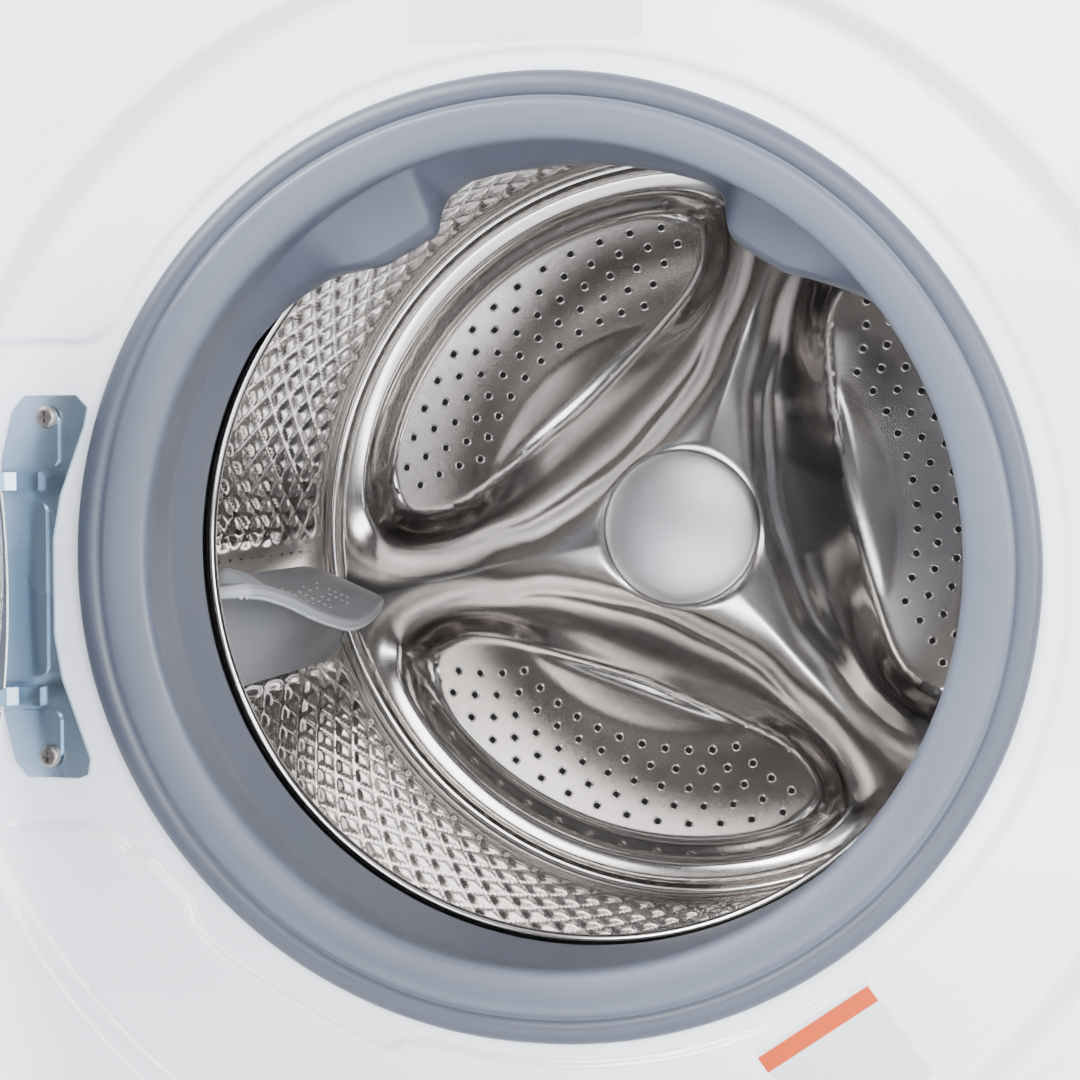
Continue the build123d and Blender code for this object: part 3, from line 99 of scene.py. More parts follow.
FINISHES = {
    "cabinet_white": Finish((0.74, 0.76, 0.80), 0.30, grain=420, depth=0.02, mottle=0.02, coat=0.6),
    "panel_white": Finish(
        (0.84, 0.865, 0.93), 0.20, grain=320, depth=0.012, mottle=0.02, gloss_spread=0.04, coat=0.7
    ),
    "lid_white": Finish((0.82, 0.84, 0.88), 0.32, grain=700, depth=0.03, mottle=0.02, coat=0.3),
    "fascia_white": Finish((0.83, 0.85, 0.89), 0.28, grain=700, depth=0.02, mottle=0.02, coat=0.4),
    "display_black": Finish((0.012, 0.014, 0.018), 0.08, grain=200, depth=0.004, coat=1.0),
    "board_green": Finish((0.02, 0.12, 0.05), 0.35, grain=900, depth=0.12, mottle=0.3),
    "button_grey": Finish((0.42, 0.44, 0.48), 0.34, grain=900, depth=0.04),
    "knob_silver": Finish((0.66, 0.67, 0.70), 0.22, 1.0, grain=500, stretch=(1, 12, 1), depth=0.05),
    "drawer_white": Finish((0.82, 0.84, 0.89), 0.28, grain=700, depth=0.02, mottle=0.02, coat=0.4),
    "tray_blue_grey": Finish((0.50, 0.55, 0.62), 0.42, grain=600, depth=0.06),
    "seal_grey": Finish(
        (0.098, 0.112, 0.150), 0.38, grain=260, depth=0.05, mottle=0.10, gloss_spread=0.12, specular=0.42
    ),
    # A darker copy of the seal rubber: painted shade on the outer bead, which turns away from the light.
    "seal_bead_painted_shade": Finish(
        (0.060, 0.070, 0.098), 0.42, grain=260, depth=0.05, mottle=0.10, gloss_spread=0.12
    ),
    "drum_steel": Finish(
        (0.55, 0.525, 0.51), 0.145, 1.0, grain=60, depth=0.006, mottle=0.03, gloss_spread=0.04
    ),
    "cap_steel": Finish(
        (0.56, 0.56, 0.58), 0.30, 1.0, grain=420, stretch=(0.5, 1, 5), depth=0.10, mottle=0.02
    ),
    "lifter_grey": Finish((0.33, 0.34, 0.365), 0.38, grain=500, depth=0.05, mottle=0.08),
    "lifter_band": Finish((0.50, 0.52, 0.56), 0.30, grain=500, depth=0.03),
    "lifter_mark": Finish((0.62, 0.64, 0.68), 0.30, grain=500, depth=0.03),
    "zinc": Finish(
        (0.36, 0.46, 0.56), 0.26, 1.0, grain=140, depth=0.05, mottle=0.22, gloss_spread=0.16
    ),
    "screw_steel": Finish((0.30, 0.27, 0.25), 0.34, 1.0, grain=700, depth=0.12, mottle=0.3),
    "door_white": Finish((0.83, 0.85, 0.89), 0.24, grain=700, depth=0.02, mottle=0.02, coat=0.5),
    "door_grey": Finish((0.075, 0.08, 0.095), 0.40, grain=800, depth=0.08),
    "door_glass": Finish((0.92, 0.96, 0.97), 0.03, grain=30, depth=0.0, transmission=1.0, coat=0.3),
    "door_cover": Finish((0.20, 0.21, 0.23), 0.04, grain=30, depth=0.0, transmission=0.85, coat=0.6),
    "hook_black": Finish((0.02, 0.02, 0.024), 0.42, grain=800, depth=0.08),
    "tub_plastic": Finish(
        (0.48, 0.49, 0.50), 0.52, grain=500, stretch=(1, 3, 1), depth=0.12, mottle=0.12
    ),
    "concrete": Finish((0.36, 0.35, 0.33), 0.92, grain=220, depth=0.6, mottle=0.35),
    "aluminium_cast": Finish((0.62, 0.62, 0.63), 0.46, 1.0, grain=420, depth=0.25, mottle=0.15),
    "shaft_steel": Finish((0.58, 0.58, 0.60), 0.22, 1.0, grain=400, stretch=(1, 14, 1), depth=0.06),
    "copper_winding": Finish(
        (0.48, 0.19, 0.07), 0.32, 1.0, grain=500, stretch=(8, 1, 8), depth=0.4, mottle=0.2
    ),
    "rotor_steel": Finish((0.16, 0.17, 0.18), 0.38, 0.7, grain=400, depth=0.08, mottle=0.12),
    "black_rubber": Finish((0.018, 0.018, 0.020), 0.62, grain=500, depth=0.16, mottle=0.2),
    "galvanised": Finish(
        (0.52, 0.54, 0.56), 0.42, 1.0, grain=50, depth=0.05, mottle=0.4, gloss_spread=0.25
    ),
    "pump_plastic": Finish((0.05, 0.055, 0.06), 0.46, grain=700, depth=0.10),
    "spring_steel": Finish((0.28, 0.29, 0.30), 0.34, 1.0, grain=500, depth=0.08, mottle=0.15),
    # Painted shade: near-black discs stand in for the shaded insides of holes that are not cut.
    "hole_painted_shade": Finish((0.006, 0.006, 0.007), 0.7, grain=600, depth=0.05),
    "sticker_paper": Finish((0.66, 0.67, 0.69), 0.45, grain=900, depth=0.05, mottle=0.03),
    "sticker_orange": Finish((0.50, 0.055, 0.0), 0.7, grain=900, depth=0.05, mottle=0.04),
}


# ---------------------------------------------------------------- node trees
class Wiring:
    """Adds and joins the nodes of one tree."""

    def __init__(self, tree: bpy.types.NodeTree) -> None:
        """Args:
        tree: the node tree that takes the nodes.
        """
        self.tree = tree

    def add(self, kind: str, settings: dict | None = None, **inputs: object) -> bpy.types.Node:
        """Adds one node.

        Args:
            kind: the node's type name.
            settings: attributes of the node itself.
            inputs: values or sockets by input name, with _ for a space.

        Returns:
            The new node.
        """
        node = self.tree.nodes.new(kind)
        for key, value in (settings or {}).items():
            setattr(node, key, value)
        for key, value in inputs.items():
            socket = node.inputs[key.replace("_", " ")]
            if isinstance(value, bpy.types.NodeSocket):
                self.tree.links.new(value, socket)
            else:
                socket.default_value = value
        return node

    def math(self, operation: str, *values: object) -> bpy.types.NodeSocket:
        """Adds one Math node of the kind that this tree takes.

        Args:
            operation: the Math operation.
            values: its inputs, as numbers or sockets.

        Returns:
            The result.
        """
        node = self.tree.nodes.new("ShaderNodeMath")
        node.operation = operation
        for socket, value in zip(node.inputs, values):
            if isinstance(value, bpy.types.NodeSocket):
                self.tree.links.new(value, socket)
            else:
                socket.default_value = value
        return node.outputs[0]


def new_group(
    name: str, kind: str, sockets: Sequence[tuple[str, str, str, object]]
) -> tuple[bpy.types.NodeTree, Wiring, bpy.types.Node, bpy.types.Node]:
    """Makes an empty node group with named sockets.

    Args:
        name: the group's name.
        kind: the tree type.
        sockets: (name, IN or OUT, socket type, default) for each.

    Returns:
        The tree, its wiring, its input node and its output node.
    """
    tree = bpy.data.node_groups.new(name, kind)
    for label, way, socket_type, default in sockets:
        side = "INPUT" if way == "IN" else "OUTPUT"
        socket = tree.interface.new_socket(label, in_out=side, socket_type=socket_type)
        if default is not None:
            socket.default_value = default
    wiring = Wiring(tree)
    return tree, wiring, tree.nodes.new("NodeGroupInput"), tree.nodes.new("NodeGroupOutput")


def grain_group() -> bpy.types.NodeTree:
    """The fine grain that all finishes share: a normal, a mottled colour and a gloss value.

    Returns:
        The shader group.
    """
    tree, w, start, end = new_group(
        "Surface grain",
        "ShaderNodeTree",
        (
            ("Colour", "IN", "NodeSocketColor", None),
            ("Scale", "IN", "NodeSocketFloat", 100.0),
            ("Stretch", "IN", "NodeSocketVector", None),
            ("Depth", "IN", "NodeSocketFloat", 0.1),
            ("Mottle", "IN", "NodeSocketFloat", 0.1),
            ("Gloss", "IN", "NodeSocketFloat", 0.4),
            ("Spread", "IN", "NodeSocketFloat", 0.1),
            ("Colour", "OUT", "NodeSocketColor", None),
            ("Roughness", "OUT", "NodeSocketFloat", None),
            ("Normal", "OUT", "NodeSocketVector", None),
        ),
    )
    place = w.add("ShaderNodeTexCoord").outputs["Object"]
    stretched = w.add("ShaderNodeMapping", Vector=place, Scale=start.outputs["Stretch"]).outputs[0]
    scale = start.outputs["Scale"]
    fine = w.add("ShaderNodeTexNoise", Vector=stretched, Scale=scale, Detail=6.0, Roughness=0.6)
    broad = w.add("ShaderNodeTexNoise", Vector=place, Scale=9.0, Detail=5.0, Roughness=0.55)
    bump = w.add("ShaderNodeBump", Strength=start.outputs["Depth"], Distance=0.001, Height=fine.outputs[0])
    shade = w.math("MULTIPLY", w.math("SUBTRACT", broad.outputs[0], 0.5), start.outputs["Mottle"])
    value = w.math("ADD", 1.0, w.math("MULTIPLY", shade, 3.0))
    colour = w.add("ShaderNodeHueSaturation", Value=value, Color=start.outputs["Colour"]).outputs[0]
    drift = w.math("MULTIPLY", w.math("SUBTRACT", broad.outputs[0], 0.5), start.outputs["Spread"])
    rough = w.math("MAXIMUM", 0.02, w.math("ADD", start.outputs["Gloss"], w.math("MULTIPLY", drift, 2.0)))
    tree.links.new(colour, end.inputs["Colour"])
    tree.links.new(rough, end.inputs["Roughness"])
    tree.links.new(bump.outputs[0], end.inputs["Normal"])
    return tree


class Paint:
    """Makes and keeps one Blender material per finish."""

    def __init__(self) -> None:
        """Prepares the shared grain group."""
        self.group = grain_group()
        self.made: dict[str, bpy.types.Material] = {}

    def __call__(self, name: str) -> bpy.types.Material:
        """Args:
            name: a key of FINISHES.

        Returns:
            The material.
        """
        if name in self.made:
            return self.made[name]
        finish = FINISHES[name]
        material = bpy.data.materials.new(name)
        material.use_nodes = True
        material.node_tree.nodes.clear()
        w = Wiring(material.node_tree)
        grain = w.add("ShaderNodeGroup", {"node_tree": self.group})
        for key, value in (
            ("Colour", (*finish.colour, 1.0)),
            ("Scale", finish.grain),
            ("Stretch", finish.stretch),
            ("Depth", finish.depth),
            ("Mottle", finish.mottle),
            ("Gloss", finish.roughness),
            ("Spread", finish.gloss_spread),
        ):
            grain.inputs[key].default_value = value
        shader = w.add(
            "ShaderNodeBsdfPrincipled",
            Base_Color=grain.outputs["Colour"],
            Roughness=grain.outputs["Roughness"],
            Normal=grain.outputs["Normal"],
            Metallic=finish.metallic,
            Coat_Weight=finish.coat,
            Coat_Roughness=0.08,
            Transmission_Weight=finish.transmission,
        )
        shader.inputs["Specular IOR Level"].default_value = finish.specular
        out = w.add("ShaderNodeOutputMaterial", Surface=shader.outputs[0])
        out.is_active_output = True
        self.made[name] = material
        return material


# ---------------------------------------------------------------- meshes
class Skin:
    """Collects grids of points and makes one smooth mesh of them."""

    def __init__(self) -> None:
        """Starts with no points."""
        self.points: list[np.ndarray] = []
        self.faces: list[np.ndarray] = []
        self.slots: list[np.ndarray] = []
        self.count = 0

    def grid(self, points: np.ndarray, wrap: bool = False, flip: bool = False, slot: int = 0) -> None:
        """Adds a grid of quads.

        Args:
            points: an array of rows, columns and 3.
            wrap: True joins the last column to the first.
            flip: True turns the faces over.
            slot: the material index.
        """
        rows, cols = points.shape[:2]
        index = np.arange(rows * cols).reshape(rows, cols) + self.count
        right = np.roll(index, -1, axis=1) if wrap else index[:, 1:]
        left = index if wrap else index[:, :-1]
        quads = np.stack((left[:-1], right[:-1], right[1:], left[1:]), axis=-1).reshape(-1, 4)
        self.faces.append(quads[:, ::-1] if flip else quads)
        self.slots.append(np.full(len(quads), slot, np.int32))
        self.points.append(points.reshape(-1, 3))
        self.count += rows * cols

    def cut(self, window: tuple[float, float, float, float]) -> None:
        """Takes out of the last grid the faces whose middles lie in a window.

        Args:
            window: left, right, bottom and top from the drum's axis, in mm.
        """
        first = self.count - len(self.points[-1])
        middle = self.points[-1][self.faces[-1] - first].mean(axis=1)
        x, z = middle[:, 0] / MM, (middle[:, 2] - AXIS_Z) / MM
        left, right, bottom, top = window
        keep = ~((x > left) & (x < right) & (z > bottom) & (z < top))
        self.faces[-1], self.slots[-1] = self.faces[-1][keep], self.slots[-1][keep]

    def build(self, name: str, materials: Sequence[bpy.types.Material]) -> bpy.types.Object:
        """Makes the mesh object.

        Args:
            name: the piece's name.
            materials: its materials, in order.

        Returns:
            The object, linked to the scene.
        """
        points = np.concatenate(self.points).astype(np.float32)
        faces = np.concatenate(self.faces).astype(np.int32)
        mesh = bpy.data.meshes.new(name)
        mesh.vertices.add(len(points))
        mesh.vertices.foreach_set("co", points.ravel())
        mesh.loops.add(faces.size)
        mesh.loops.foreach_set("vertex_index", faces.ravel())
        mesh.polygons.add(len(faces))
        mesh.polygons.foreach_set("loop_start", np.arange(0, faces.size, 4, dtype=np.int32))
        mesh.polygons.foreach_set("material_index", np.concatenate(self.slots))
        mesh.update(calc_edges=True)
        mesh.validate()
        mesh.polygons.foreach_set("use_smooth", np.full(len(mesh.polygons), True))
        for material in materials:
            mesh.materials.append(material)
        thing = bpy.data.objects.new(name, mesh)
        bpy.context.scene.collection.objects.link(thing)
        return thing


def at(x: np.ndarray, y: np.ndarray, z: np.ndarray) -> np.ndarray:
    """Puts points in the frame.

    Args:
        x: distances right of the drum's axis, in mm.
        y: places front to back, in metres.
        z: distances above the drum's axis, in mm.

    Returns:
        The points in metres, one along the last axis.
    """
    return np.stack((x * MM, y, AXIS_Z + z * MM), axis=-1)


def around(radius: Sequence, depth: Sequence, angles: np.ndarray) -> np.ndarray:
    """Points on rings about an axis along Y.

    Args:
        radius: radii in mm, by row, or by row and column.
        depth: distances behind the seal's plane in mm, shaped the same.
        angles: the column angles in degrees.

    Returns:
        An array of rows, columns and 3 in metres.
    """
    radius = np.asarray(radius, float)
    depth = np.asarray(depth, float)
    if radius.ndim == 1:
        radius = np.repeat(radius[:, None], len(angles), axis=1)
    if depth.ndim == 1:
        depth = np.repeat(depth[:, None], len(angles), axis=1)
    turn = np.radians(angles)[None, :]
    return at(radius * np.cos(turn), SEAL_Y + depth * MM, radius * np.sin(turn))


def revolve(profile: Sequence[tuple[float, float]], angles: np.ndarray) -> np.ndarray:
    """Turns a profile about the drum's axis.

    Args:
        profile: radius and depth of each point, in mm.
        angles: the column angles in degrees.

    Returns:
        An array of rows, columns and 3 in metres.
    """
    return around([r for r, _ in profile], [y for _, y in profile], angles)


def smooth_step(value: np.ndarray, low: float, high: float) -> np.ndarray:
    """A soft step from 0 at low to 1 at high.

    Args:
        value: the input.
        low: where it leaves 0.
        high: where it reaches 1.

    Returns:
        The step, shaped like value.
    """
    t = np.clip((value - low) / (high - low), 0.0, 1.0)
    return t * t * (3.0 - 2.0 * t)


def rounded(points: Sequence[tuple[float, float]], rounds: int = 2) -> np.ndarray:
    """Cuts the corners of a closed outline until it's smooth.

    Args:
        points: the corners.
        rounds: how often each corner is cut.

    Returns:
        The smooth outline.
    """
    line = np.asarray(points, float)
    for _ in range(rounds):
        after = np.roll(line, -1, axis=0)
        line = np.stack((0.75 * line + 0.25 * after, 0.25 * line + 0.75 * after), axis=1).reshape(-1, 2)
    return line


def runs(spans: Sequence[tuple[float, float, int]]) -> np.ndarray:
    """Joins evenly spaced runs of numbers.

    Args:
        spans: first value, last value and count of each run.

    Returns:
        All the values in order.
    """
    return np.concatenate([np.linspace(*span) for span in spans])


def outline_distance(x: np.ndarray, z: np.ndarray, outline: np.ndarray) -> np.ndarray:
    """Signed distance to a closed outline, positive inside.

    Args:
        x: first coordinates.
        z: second coordinates.
        outline: the outline's points.

    Returns:
        The distances, shaped like x.
    """
    best = np.full(x.shape, 1e9)
    inside = np.zeros(x.shape, bool)
    for (ax, az), (bx, bz) in zip(outline, np.roll(outline, -1, axis=0)):
        ex, ez = bx - ax, bz - az
        t = np.clip(((x - ax) * ex + (z - az) * ez) / max(ex * ex + ez * ez, 1e-9), 0, 1)
        best = np.minimum(best, (x - ax - t * ex) ** 2 + (z - az - t * ez) ** 2)
        crosses = (az > z) != (bz > z)
        if abs(ez) > 1e-9:
            inside ^= crosses & (x < (z - az) / ez * ex + ax)
    return np.sqrt(best) * np.where(inside, 1.0, -1.0)


def hang(
    thing: bpy.types.Object, body: Body, nodes: Sequence[str] = ()
) -> bpy.types.Object:
    """Fixes a piece to its body and hides the CAD nodes it replaces.

    Args:
        thing: the piece.
        body: the body it rides on.
        nodes: the CAD nodes it replaces.

    Returns:
        The piece.
    """
    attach(thing, body.value)
    if nodes:
        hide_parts(*nodes)
    return thing


# ---------------------------------------------------------------- repeated details
def stamp_tree() -> bpy.types.NodeTree:
    """Puts a small eyelet or dot on each point, turned to the point's own facing direction.

    Returns:
        The geometry tree, with Radius, Tube, Depth, Rim and Material as inputs.
    """
    tree, w, start, end = new_group(
        "Stamp on points",
        "GeometryNodeTree",
        (
            ("Geometry", "IN", "NodeSocketGeometry", None),
            ("Radius", "IN", "NodeSocketFloat", 0.003),
            ("Tube", "IN", "NodeSocketFloat", 0.0005),
            ("Depth", "IN", "NodeSocketFloat", 0.0004),
            ("Rim", "IN", "NodeSocketBool", True),
            ("Material", "IN", "NodeSocketMaterial", None),
            ("Geometry", "OUT", "NodeSocketGeometry", None),
        ),
    )
    radius, thick = start.outputs["Radius"], start.outputs["Depth"]
    circle = w.add("GeometryNodeCurvePrimitiveCircle", Resolution=22, Radius=radius)
    section = w.add("GeometryNodeCurvePrimitiveCircle", Resolution=8, Radius=start.outputs["Tube"])
    rim = w.add("GeometryNodeCurveToMesh", Curve=circle.outputs[0], Profile_Curve=section.outputs[0])
    dot = w.add("GeometryNodeMeshCylinder", Vertices=14, Radius=radius, Depth=thick)
    shape = w.add("GeometryNodeSwitch", {"input_type": "GEOMETRY"})
    tree.links.new(start.outputs["Rim"], shape.inputs["Switch"])
    tree.links.new(dot.outputs[0], shape.inputs["False"])
    tree.links.new(rim.outputs[0], shape.inputs["True"])
    facing = w.add("GeometryNodeInputNamedAttribute", {"data_type": "FLOAT_VECTOR"}, Name="facing")
    turn = w.add("FunctionNodeAlignRotationToVector", {"axis": "Z"}, Vector=facing.outputs["Attribute"])
    placed = w.add(
        "GeometryNodeInstanceOnPoints",
        Points=start.outputs["Geometry"],
        Instance=shape.outputs["Output"],
        Rotation=turn.outputs[0],
    )
    real = w.add("GeometryNodeRealizeInstances", Geometry=placed.outputs[0])
    painted = w.add("GeometryNodeSetMaterial", Geometry=real.outputs[0], Material=start.outputs["Material"])
    tree.links.new(painted.outputs[0], end.inputs["Geometry"])
    return tree


def lattice_tree() -> bpy.types.NodeTree:
    """Lays rows of small dots on the inside of a cylinder and leaves plain strips at the paddles.

    Returns:
        The geometry tree, with Columns, Rows, Radius, Start, Pitch, Strip, Dot and Material as inputs.
    """
    tree, w, start, end = new_group(
        "Drum perforations",
        "GeometryNodeTree",
        (
            ("Geometry", "IN", "NodeSocketGeometry", None),
            ("Columns", "IN", "NodeSocketInt", 144),
            ("Rows", "IN", "NodeSocketInt", 13),
            ("Radius", "IN", "NodeSocketFloat", 0.275),
            ("Start", "IN", "NodeSocketFloat", 0.0),
            ("Pitch", "IN", "NodeSocketFloat", 0.019),
            ("Strip", "IN", "NodeSocketFloat", 0.17),
            ("Dot", "IN", "NodeSocketFloat", 0.001),
            ("Material", "IN", "NodeSocketMaterial", None),
            ("Geometry", "OUT", "NodeSocketGeometry", None),
        ),
    )
    columns, rows = start.outputs["Columns"], start.outputs["Rows"]
    total = w.math("MULTIPLY", columns, rows)
    line = w.add("GeometryNodeMeshLine", {"mode": "OFFSET"}, Count=total)
    index = w.add("GeometryNodeInputIndex").outputs[0]
    row = w.math("FLOOR", w.math("DIVIDE", w.math("ADD", index, 0.25), columns))
    column = w.math("SUBTRACT", index, w.math("MULTIPLY", row, columns))
    angle = w.math("MULTIPLY", w.math("DIVIDE", w.math("ADD", column, 0.5), columns), math.tau)
    cos, sin = w.math("COSINE", angle), w.math("SINE", angle)
    radius = start.outputs["Radius"]
    depth = w.math("ADD", start.outputs["Start"], w.math("MULTIPLY", row, start.outputs["Pitch"]))
    place = w.add(
        "ShaderNodeCombineXYZ",
        X=w.math("MULTIPLY", cos, radius),
        Y=depth,
        Z=w.math("ADD", AXIS_Z, w.math("MULTIPLY", sin, radius)),
    )
    inward = w.add("ShaderNodeCombineXYZ", X=w.math("MULTIPLY", cos, -1.0), Z=w.math("MULTIPLY", sin, -1.0))
    half = math.tau / 2
    swing = w.math("FLOORED_MODULO", w.math("ADD", angle, half / 2 - math.radians(PADDLES[0])), half)
    near = w.math("ABSOLUTE", w.math("SUBTRACT", swing, half / 2))
    moved = w.add("GeometryNodeSetPosition", Geometry=line.outputs[0], Position=place.outputs[0])
    plain = w.math("LESS_THAN", near, start.outputs["Strip"])
    kept = w.add("GeometryNodeDeleteGeometry", Geometry=moved.outputs[0], Selection=plain)
    dot = w.add("GeometryNodeMeshCylinder", Vertices=8, Radius=start.outputs["Dot"], Depth=0.0004)
    turn = w.add("FunctionNodeAlignRotationToVector", {"axis": "Z"}, Vector=inward.outputs[0])
    placed = w.add(
        "GeometryNodeInstanceOnPoints",
        Points=kept.outputs[0],
        Instance=dot.outputs[0],
        Rotation=turn.outputs[0],
    )
    real = w.add("GeometryNodeRealizeInstances", Geometry=placed.outputs[0])
    painted = w.add("GeometryNodeSetMaterial", Geometry=real.outputs[0], Material=start.outputs["Material"])
    tree.links.new(painted.outputs[0], end.inputs["Geometry"])
    return tree


def grow(
    name: str, tree: bpy.types.NodeTree, values: dict, points: Sequence = (), facing: Sequence = ()
) -> bpy.types.Object:
    """Runs a geometry tree once and keeps its result as a plain mesh.

    Args:
        name: the piece's name.
        tree: the geometry tree.
        values: its inputs by name.
        points: the points it starts from, in metres.
        facing: one direction per point.

    Returns:
        The object.
    """
    mesh = bpy.data.meshes.new(name)
    mesh.from_pydata([tuple(p) for p in points] or [(0, 0, 0)], [], [])
    if len(facing):
        attribute = mesh.attributes.new("facing", "FLOAT_VECTOR", "POINT")
        attribute.data.foreach_set("vector", np.asarray(facing, np.float32).ravel())
    thing = bpy.data.objects.new(name, mesh)
    bpy.context.scene.collection.objects.link(thing)
    modifier = thing.modifiers.new("grow", "NODES")
    modifier.node_group = tree
    for socket in tree.interface.items_tree:
        if socket.in_out == "INPUT" and socket.name in values:
            modifier[socket.identifier] = values[socket.name]
    graph = bpy.context.evaluated_depsgraph_get()
    made = bpy.data.meshes.new_from_object(thing.evaluated_get(graph), depsgraph=graph)
    thing.modifiers.clear()
    thing.data = made
    return thing


# ---------------------------------------------------------------- front panel
@dataclass
class FrontPanel:
    """The pressed steel front with its dish, the groove round the seal and its openings."""

    paint: Paint
    dish: tuple[float, float] = (-6.0, -20.0)
    dish_edge: tuple[float, float] = (307.5, 296.5)
    floor: float = 9.0
    groove: float = 3.0
    groove_end: tuple[float, float] = (299.0, 292.0)
    blend: float = 22.0
    corner: float = 9.0
    sheet: float = 1.15
    behind: float = 0.02
    inset: float = 0.5
    hook_slot: tuple[float, float, float, float] = (257.5, 276.5, -42.5, 2.5)
    snap: tuple[float, float] = (1.3, 1.0)
    dish_clear: float = 337.0
    rings: tuple = ((222.5, 233, 4), (235, 262, 20), (264, 286, 11))
    spans: tuple = (
        (0, 6, 16), (6, 100, 80), (100, 145, 52), (145, 172, 92),
        (172, 192, 24), (192, 262, 180), (262, 344, 70),
        (344, 360, 40),
    )
    edge: tuple = (
        (-180.0, 241.0), (-144.4, 255.0), (-142.0, 248.6), (-138.8, 246.0), (-135.5, 245.6), (-133.0, 251.5),
        (-129.9, 252.7), (-118.0, 248.0), (-107.0, 249.0), (-105.0, 243.0), (-102.0, 239.5), (-90.0, 240.0),
        (-60.0, 243.0), (-45.0, 245.0), (-25.0, 247.0), (0.0, 244.0), (30.0, 240.0), (60.0, 238.5),
        (90.0, 238.0), (120.0, 239.0), (150.0, 241.0), (180.0, 241.0),
    )
    box: tuple = (-248.0, -16.0, 62.0, 122.0)

    def depth(self, x: np.ndarray, z: np.ndarray) -> np.ndarray:
        """How far the sheet is pressed in.

        Args:
            x: distances right of the drum's axis, in mm.
            z: distances above it.

        Returns:
            The depths behind the panel's flat front, in mm.
        """
        from_dish = np.hypot(x - self.dish[0], z - self.dish[1])
        depth = self.floor * smooth_step(from_dish, *self.dish_edge)
        angle = np.degrees(np.arctan2(z, x))
        limit = np.interp(angle, [a for a, _ in self.edge], [r for _, r in self.edge])
        ring = np.hypot(x, z) - limit
        bx, bz, half_x, half_z = self.box
        qx, qz = np.abs(x - bx) - half_x + self.corner, np.abs(z - bz) - half_z + self.corner
        box = np.hypot(np.maximum(qx, 0), np.maximum(qz, 0)) + np.minimum(np.maximum(qx, qz), 0) - self.corner
        mix = np.clip(0.5 + 0.5 * (box - ring) / self.blend, 0, 1)
        joined = box * (1 - mix) + ring * mix - self.blend * mix * (1 - mix) * 0.6
        return depth + self.groove * smooth_step(joined, 2.0, -2.0) * smooth_step(from_dish, *self.groove_end)

    def spokes(self, half: float, high: float, split: float) -> tuple[np.ndarray, np.ndarray]:
        """Lays out the sheet above the flap in spokes round the opening.

        Args:
            half: half the panel's width, in mm.
            high: its top from the drum's axis.
            split: where the spokes end below.

        Returns:
            The x and z of each point, in mm, with edges along the hook's slot.
        """
        angles = np.concatenate([np.linspace(a, b, n, endpoint=False) for a, b, n in self.spans])
        for turn in (math.degrees(math.atan2(z, x)) % 360 for x in (half, -half) for z in (split, high)):
            angles[np.argmin(np.abs(angles - turn))] = turn
        cos, sin = np.cos(np.radians(angles)), np.sin(np.radians(angles))
        with np.errstate(divide="ignore"):
            top_or_split = np.where(sin > 0, high - self.inset, -split) / np.abs(sin)
            edge = np.minimum((half - self.inset) / np.abs(cos), top_or_split)
        inner = runs(self.rings)
        rim = np.minimum(edge - 1.0, self.dish_clear)
        outer = inner[-1] + (rim - inner[-1])[None, :] * np.linspace(0, 1, 30)[1:, None]
        radius = np.concatenate((np.repeat(inner[:, None], len(angles), axis=1), outer, edge[None, :]))
        x, z = radius * cos, radius * sin
        left, right, bottom, top = self.hook_slot
        for line in (left, right):
            x[(np.abs(x - line) < self.snap[0]) & (z > bottom - 2) & (z < top + 2)] = line
        for line in (bottom, top):
            z[(np.abs(z - line) < self.snap[1]) & (x > left - 2) & (x < right + 2)] = line
        return x, z

    def add_plain(self, skin: Skin, columns: Sequence[float], lines: Sequence[float]) -> None:
        """Adds the flat sheet below the spokes, open where the filter flap goes.

        Args:
            skin: the mesh that takes it.
            columns: the upright lines from left to right, in mm.
            lines: the level lines from top to bottom.
        """
        for i in range(3):
            for j in range(3):
                if (i, j) == (1, 1):
                    continue
                u, v = np.meshgrid(columns[i : i + 2], lines[j : j + 2])
                cell = at(u, np.full(u.shape, FRONT_Y + self.behind * MM), v)
                skin.grid(cell, flip=True)
                skin.grid(cell + (0.0, self.sheet * MM, 0.0))

    def add_returns(self, skin: Skin, frame_box: tuple, window: tuple) -> None:
        """Adds the rolled outer edge and the turned-in edge of the flap's opening.

        Args:
            skin: the mesh that takes them.
            frame_box: left, right, bottom and top of the panel, in mm.
            window: the same of the flap's opening.
        """
        rolled = ((self.inset, self.behind), (0.1, 0.25), (0.0, 0.7), (0.0, 2.9))
        turned = ((0.0, 1.1), (0.0, self.behind))
        for (left, right, bottom, top), steps in ((frame_box, rolled), (window, turned)):
            loops = []
            for inset, deep in steps:
                x = np.array((left + inset, right - inset, right - inset, left + inset))
                z = np.array((bottom + inset, bottom + inset, top - inset, top - inset))
                loops.append(at(x, np.full(4, FRONT_Y + deep * MM), z))
            skin.grid(np.array(loops), wrap=True)

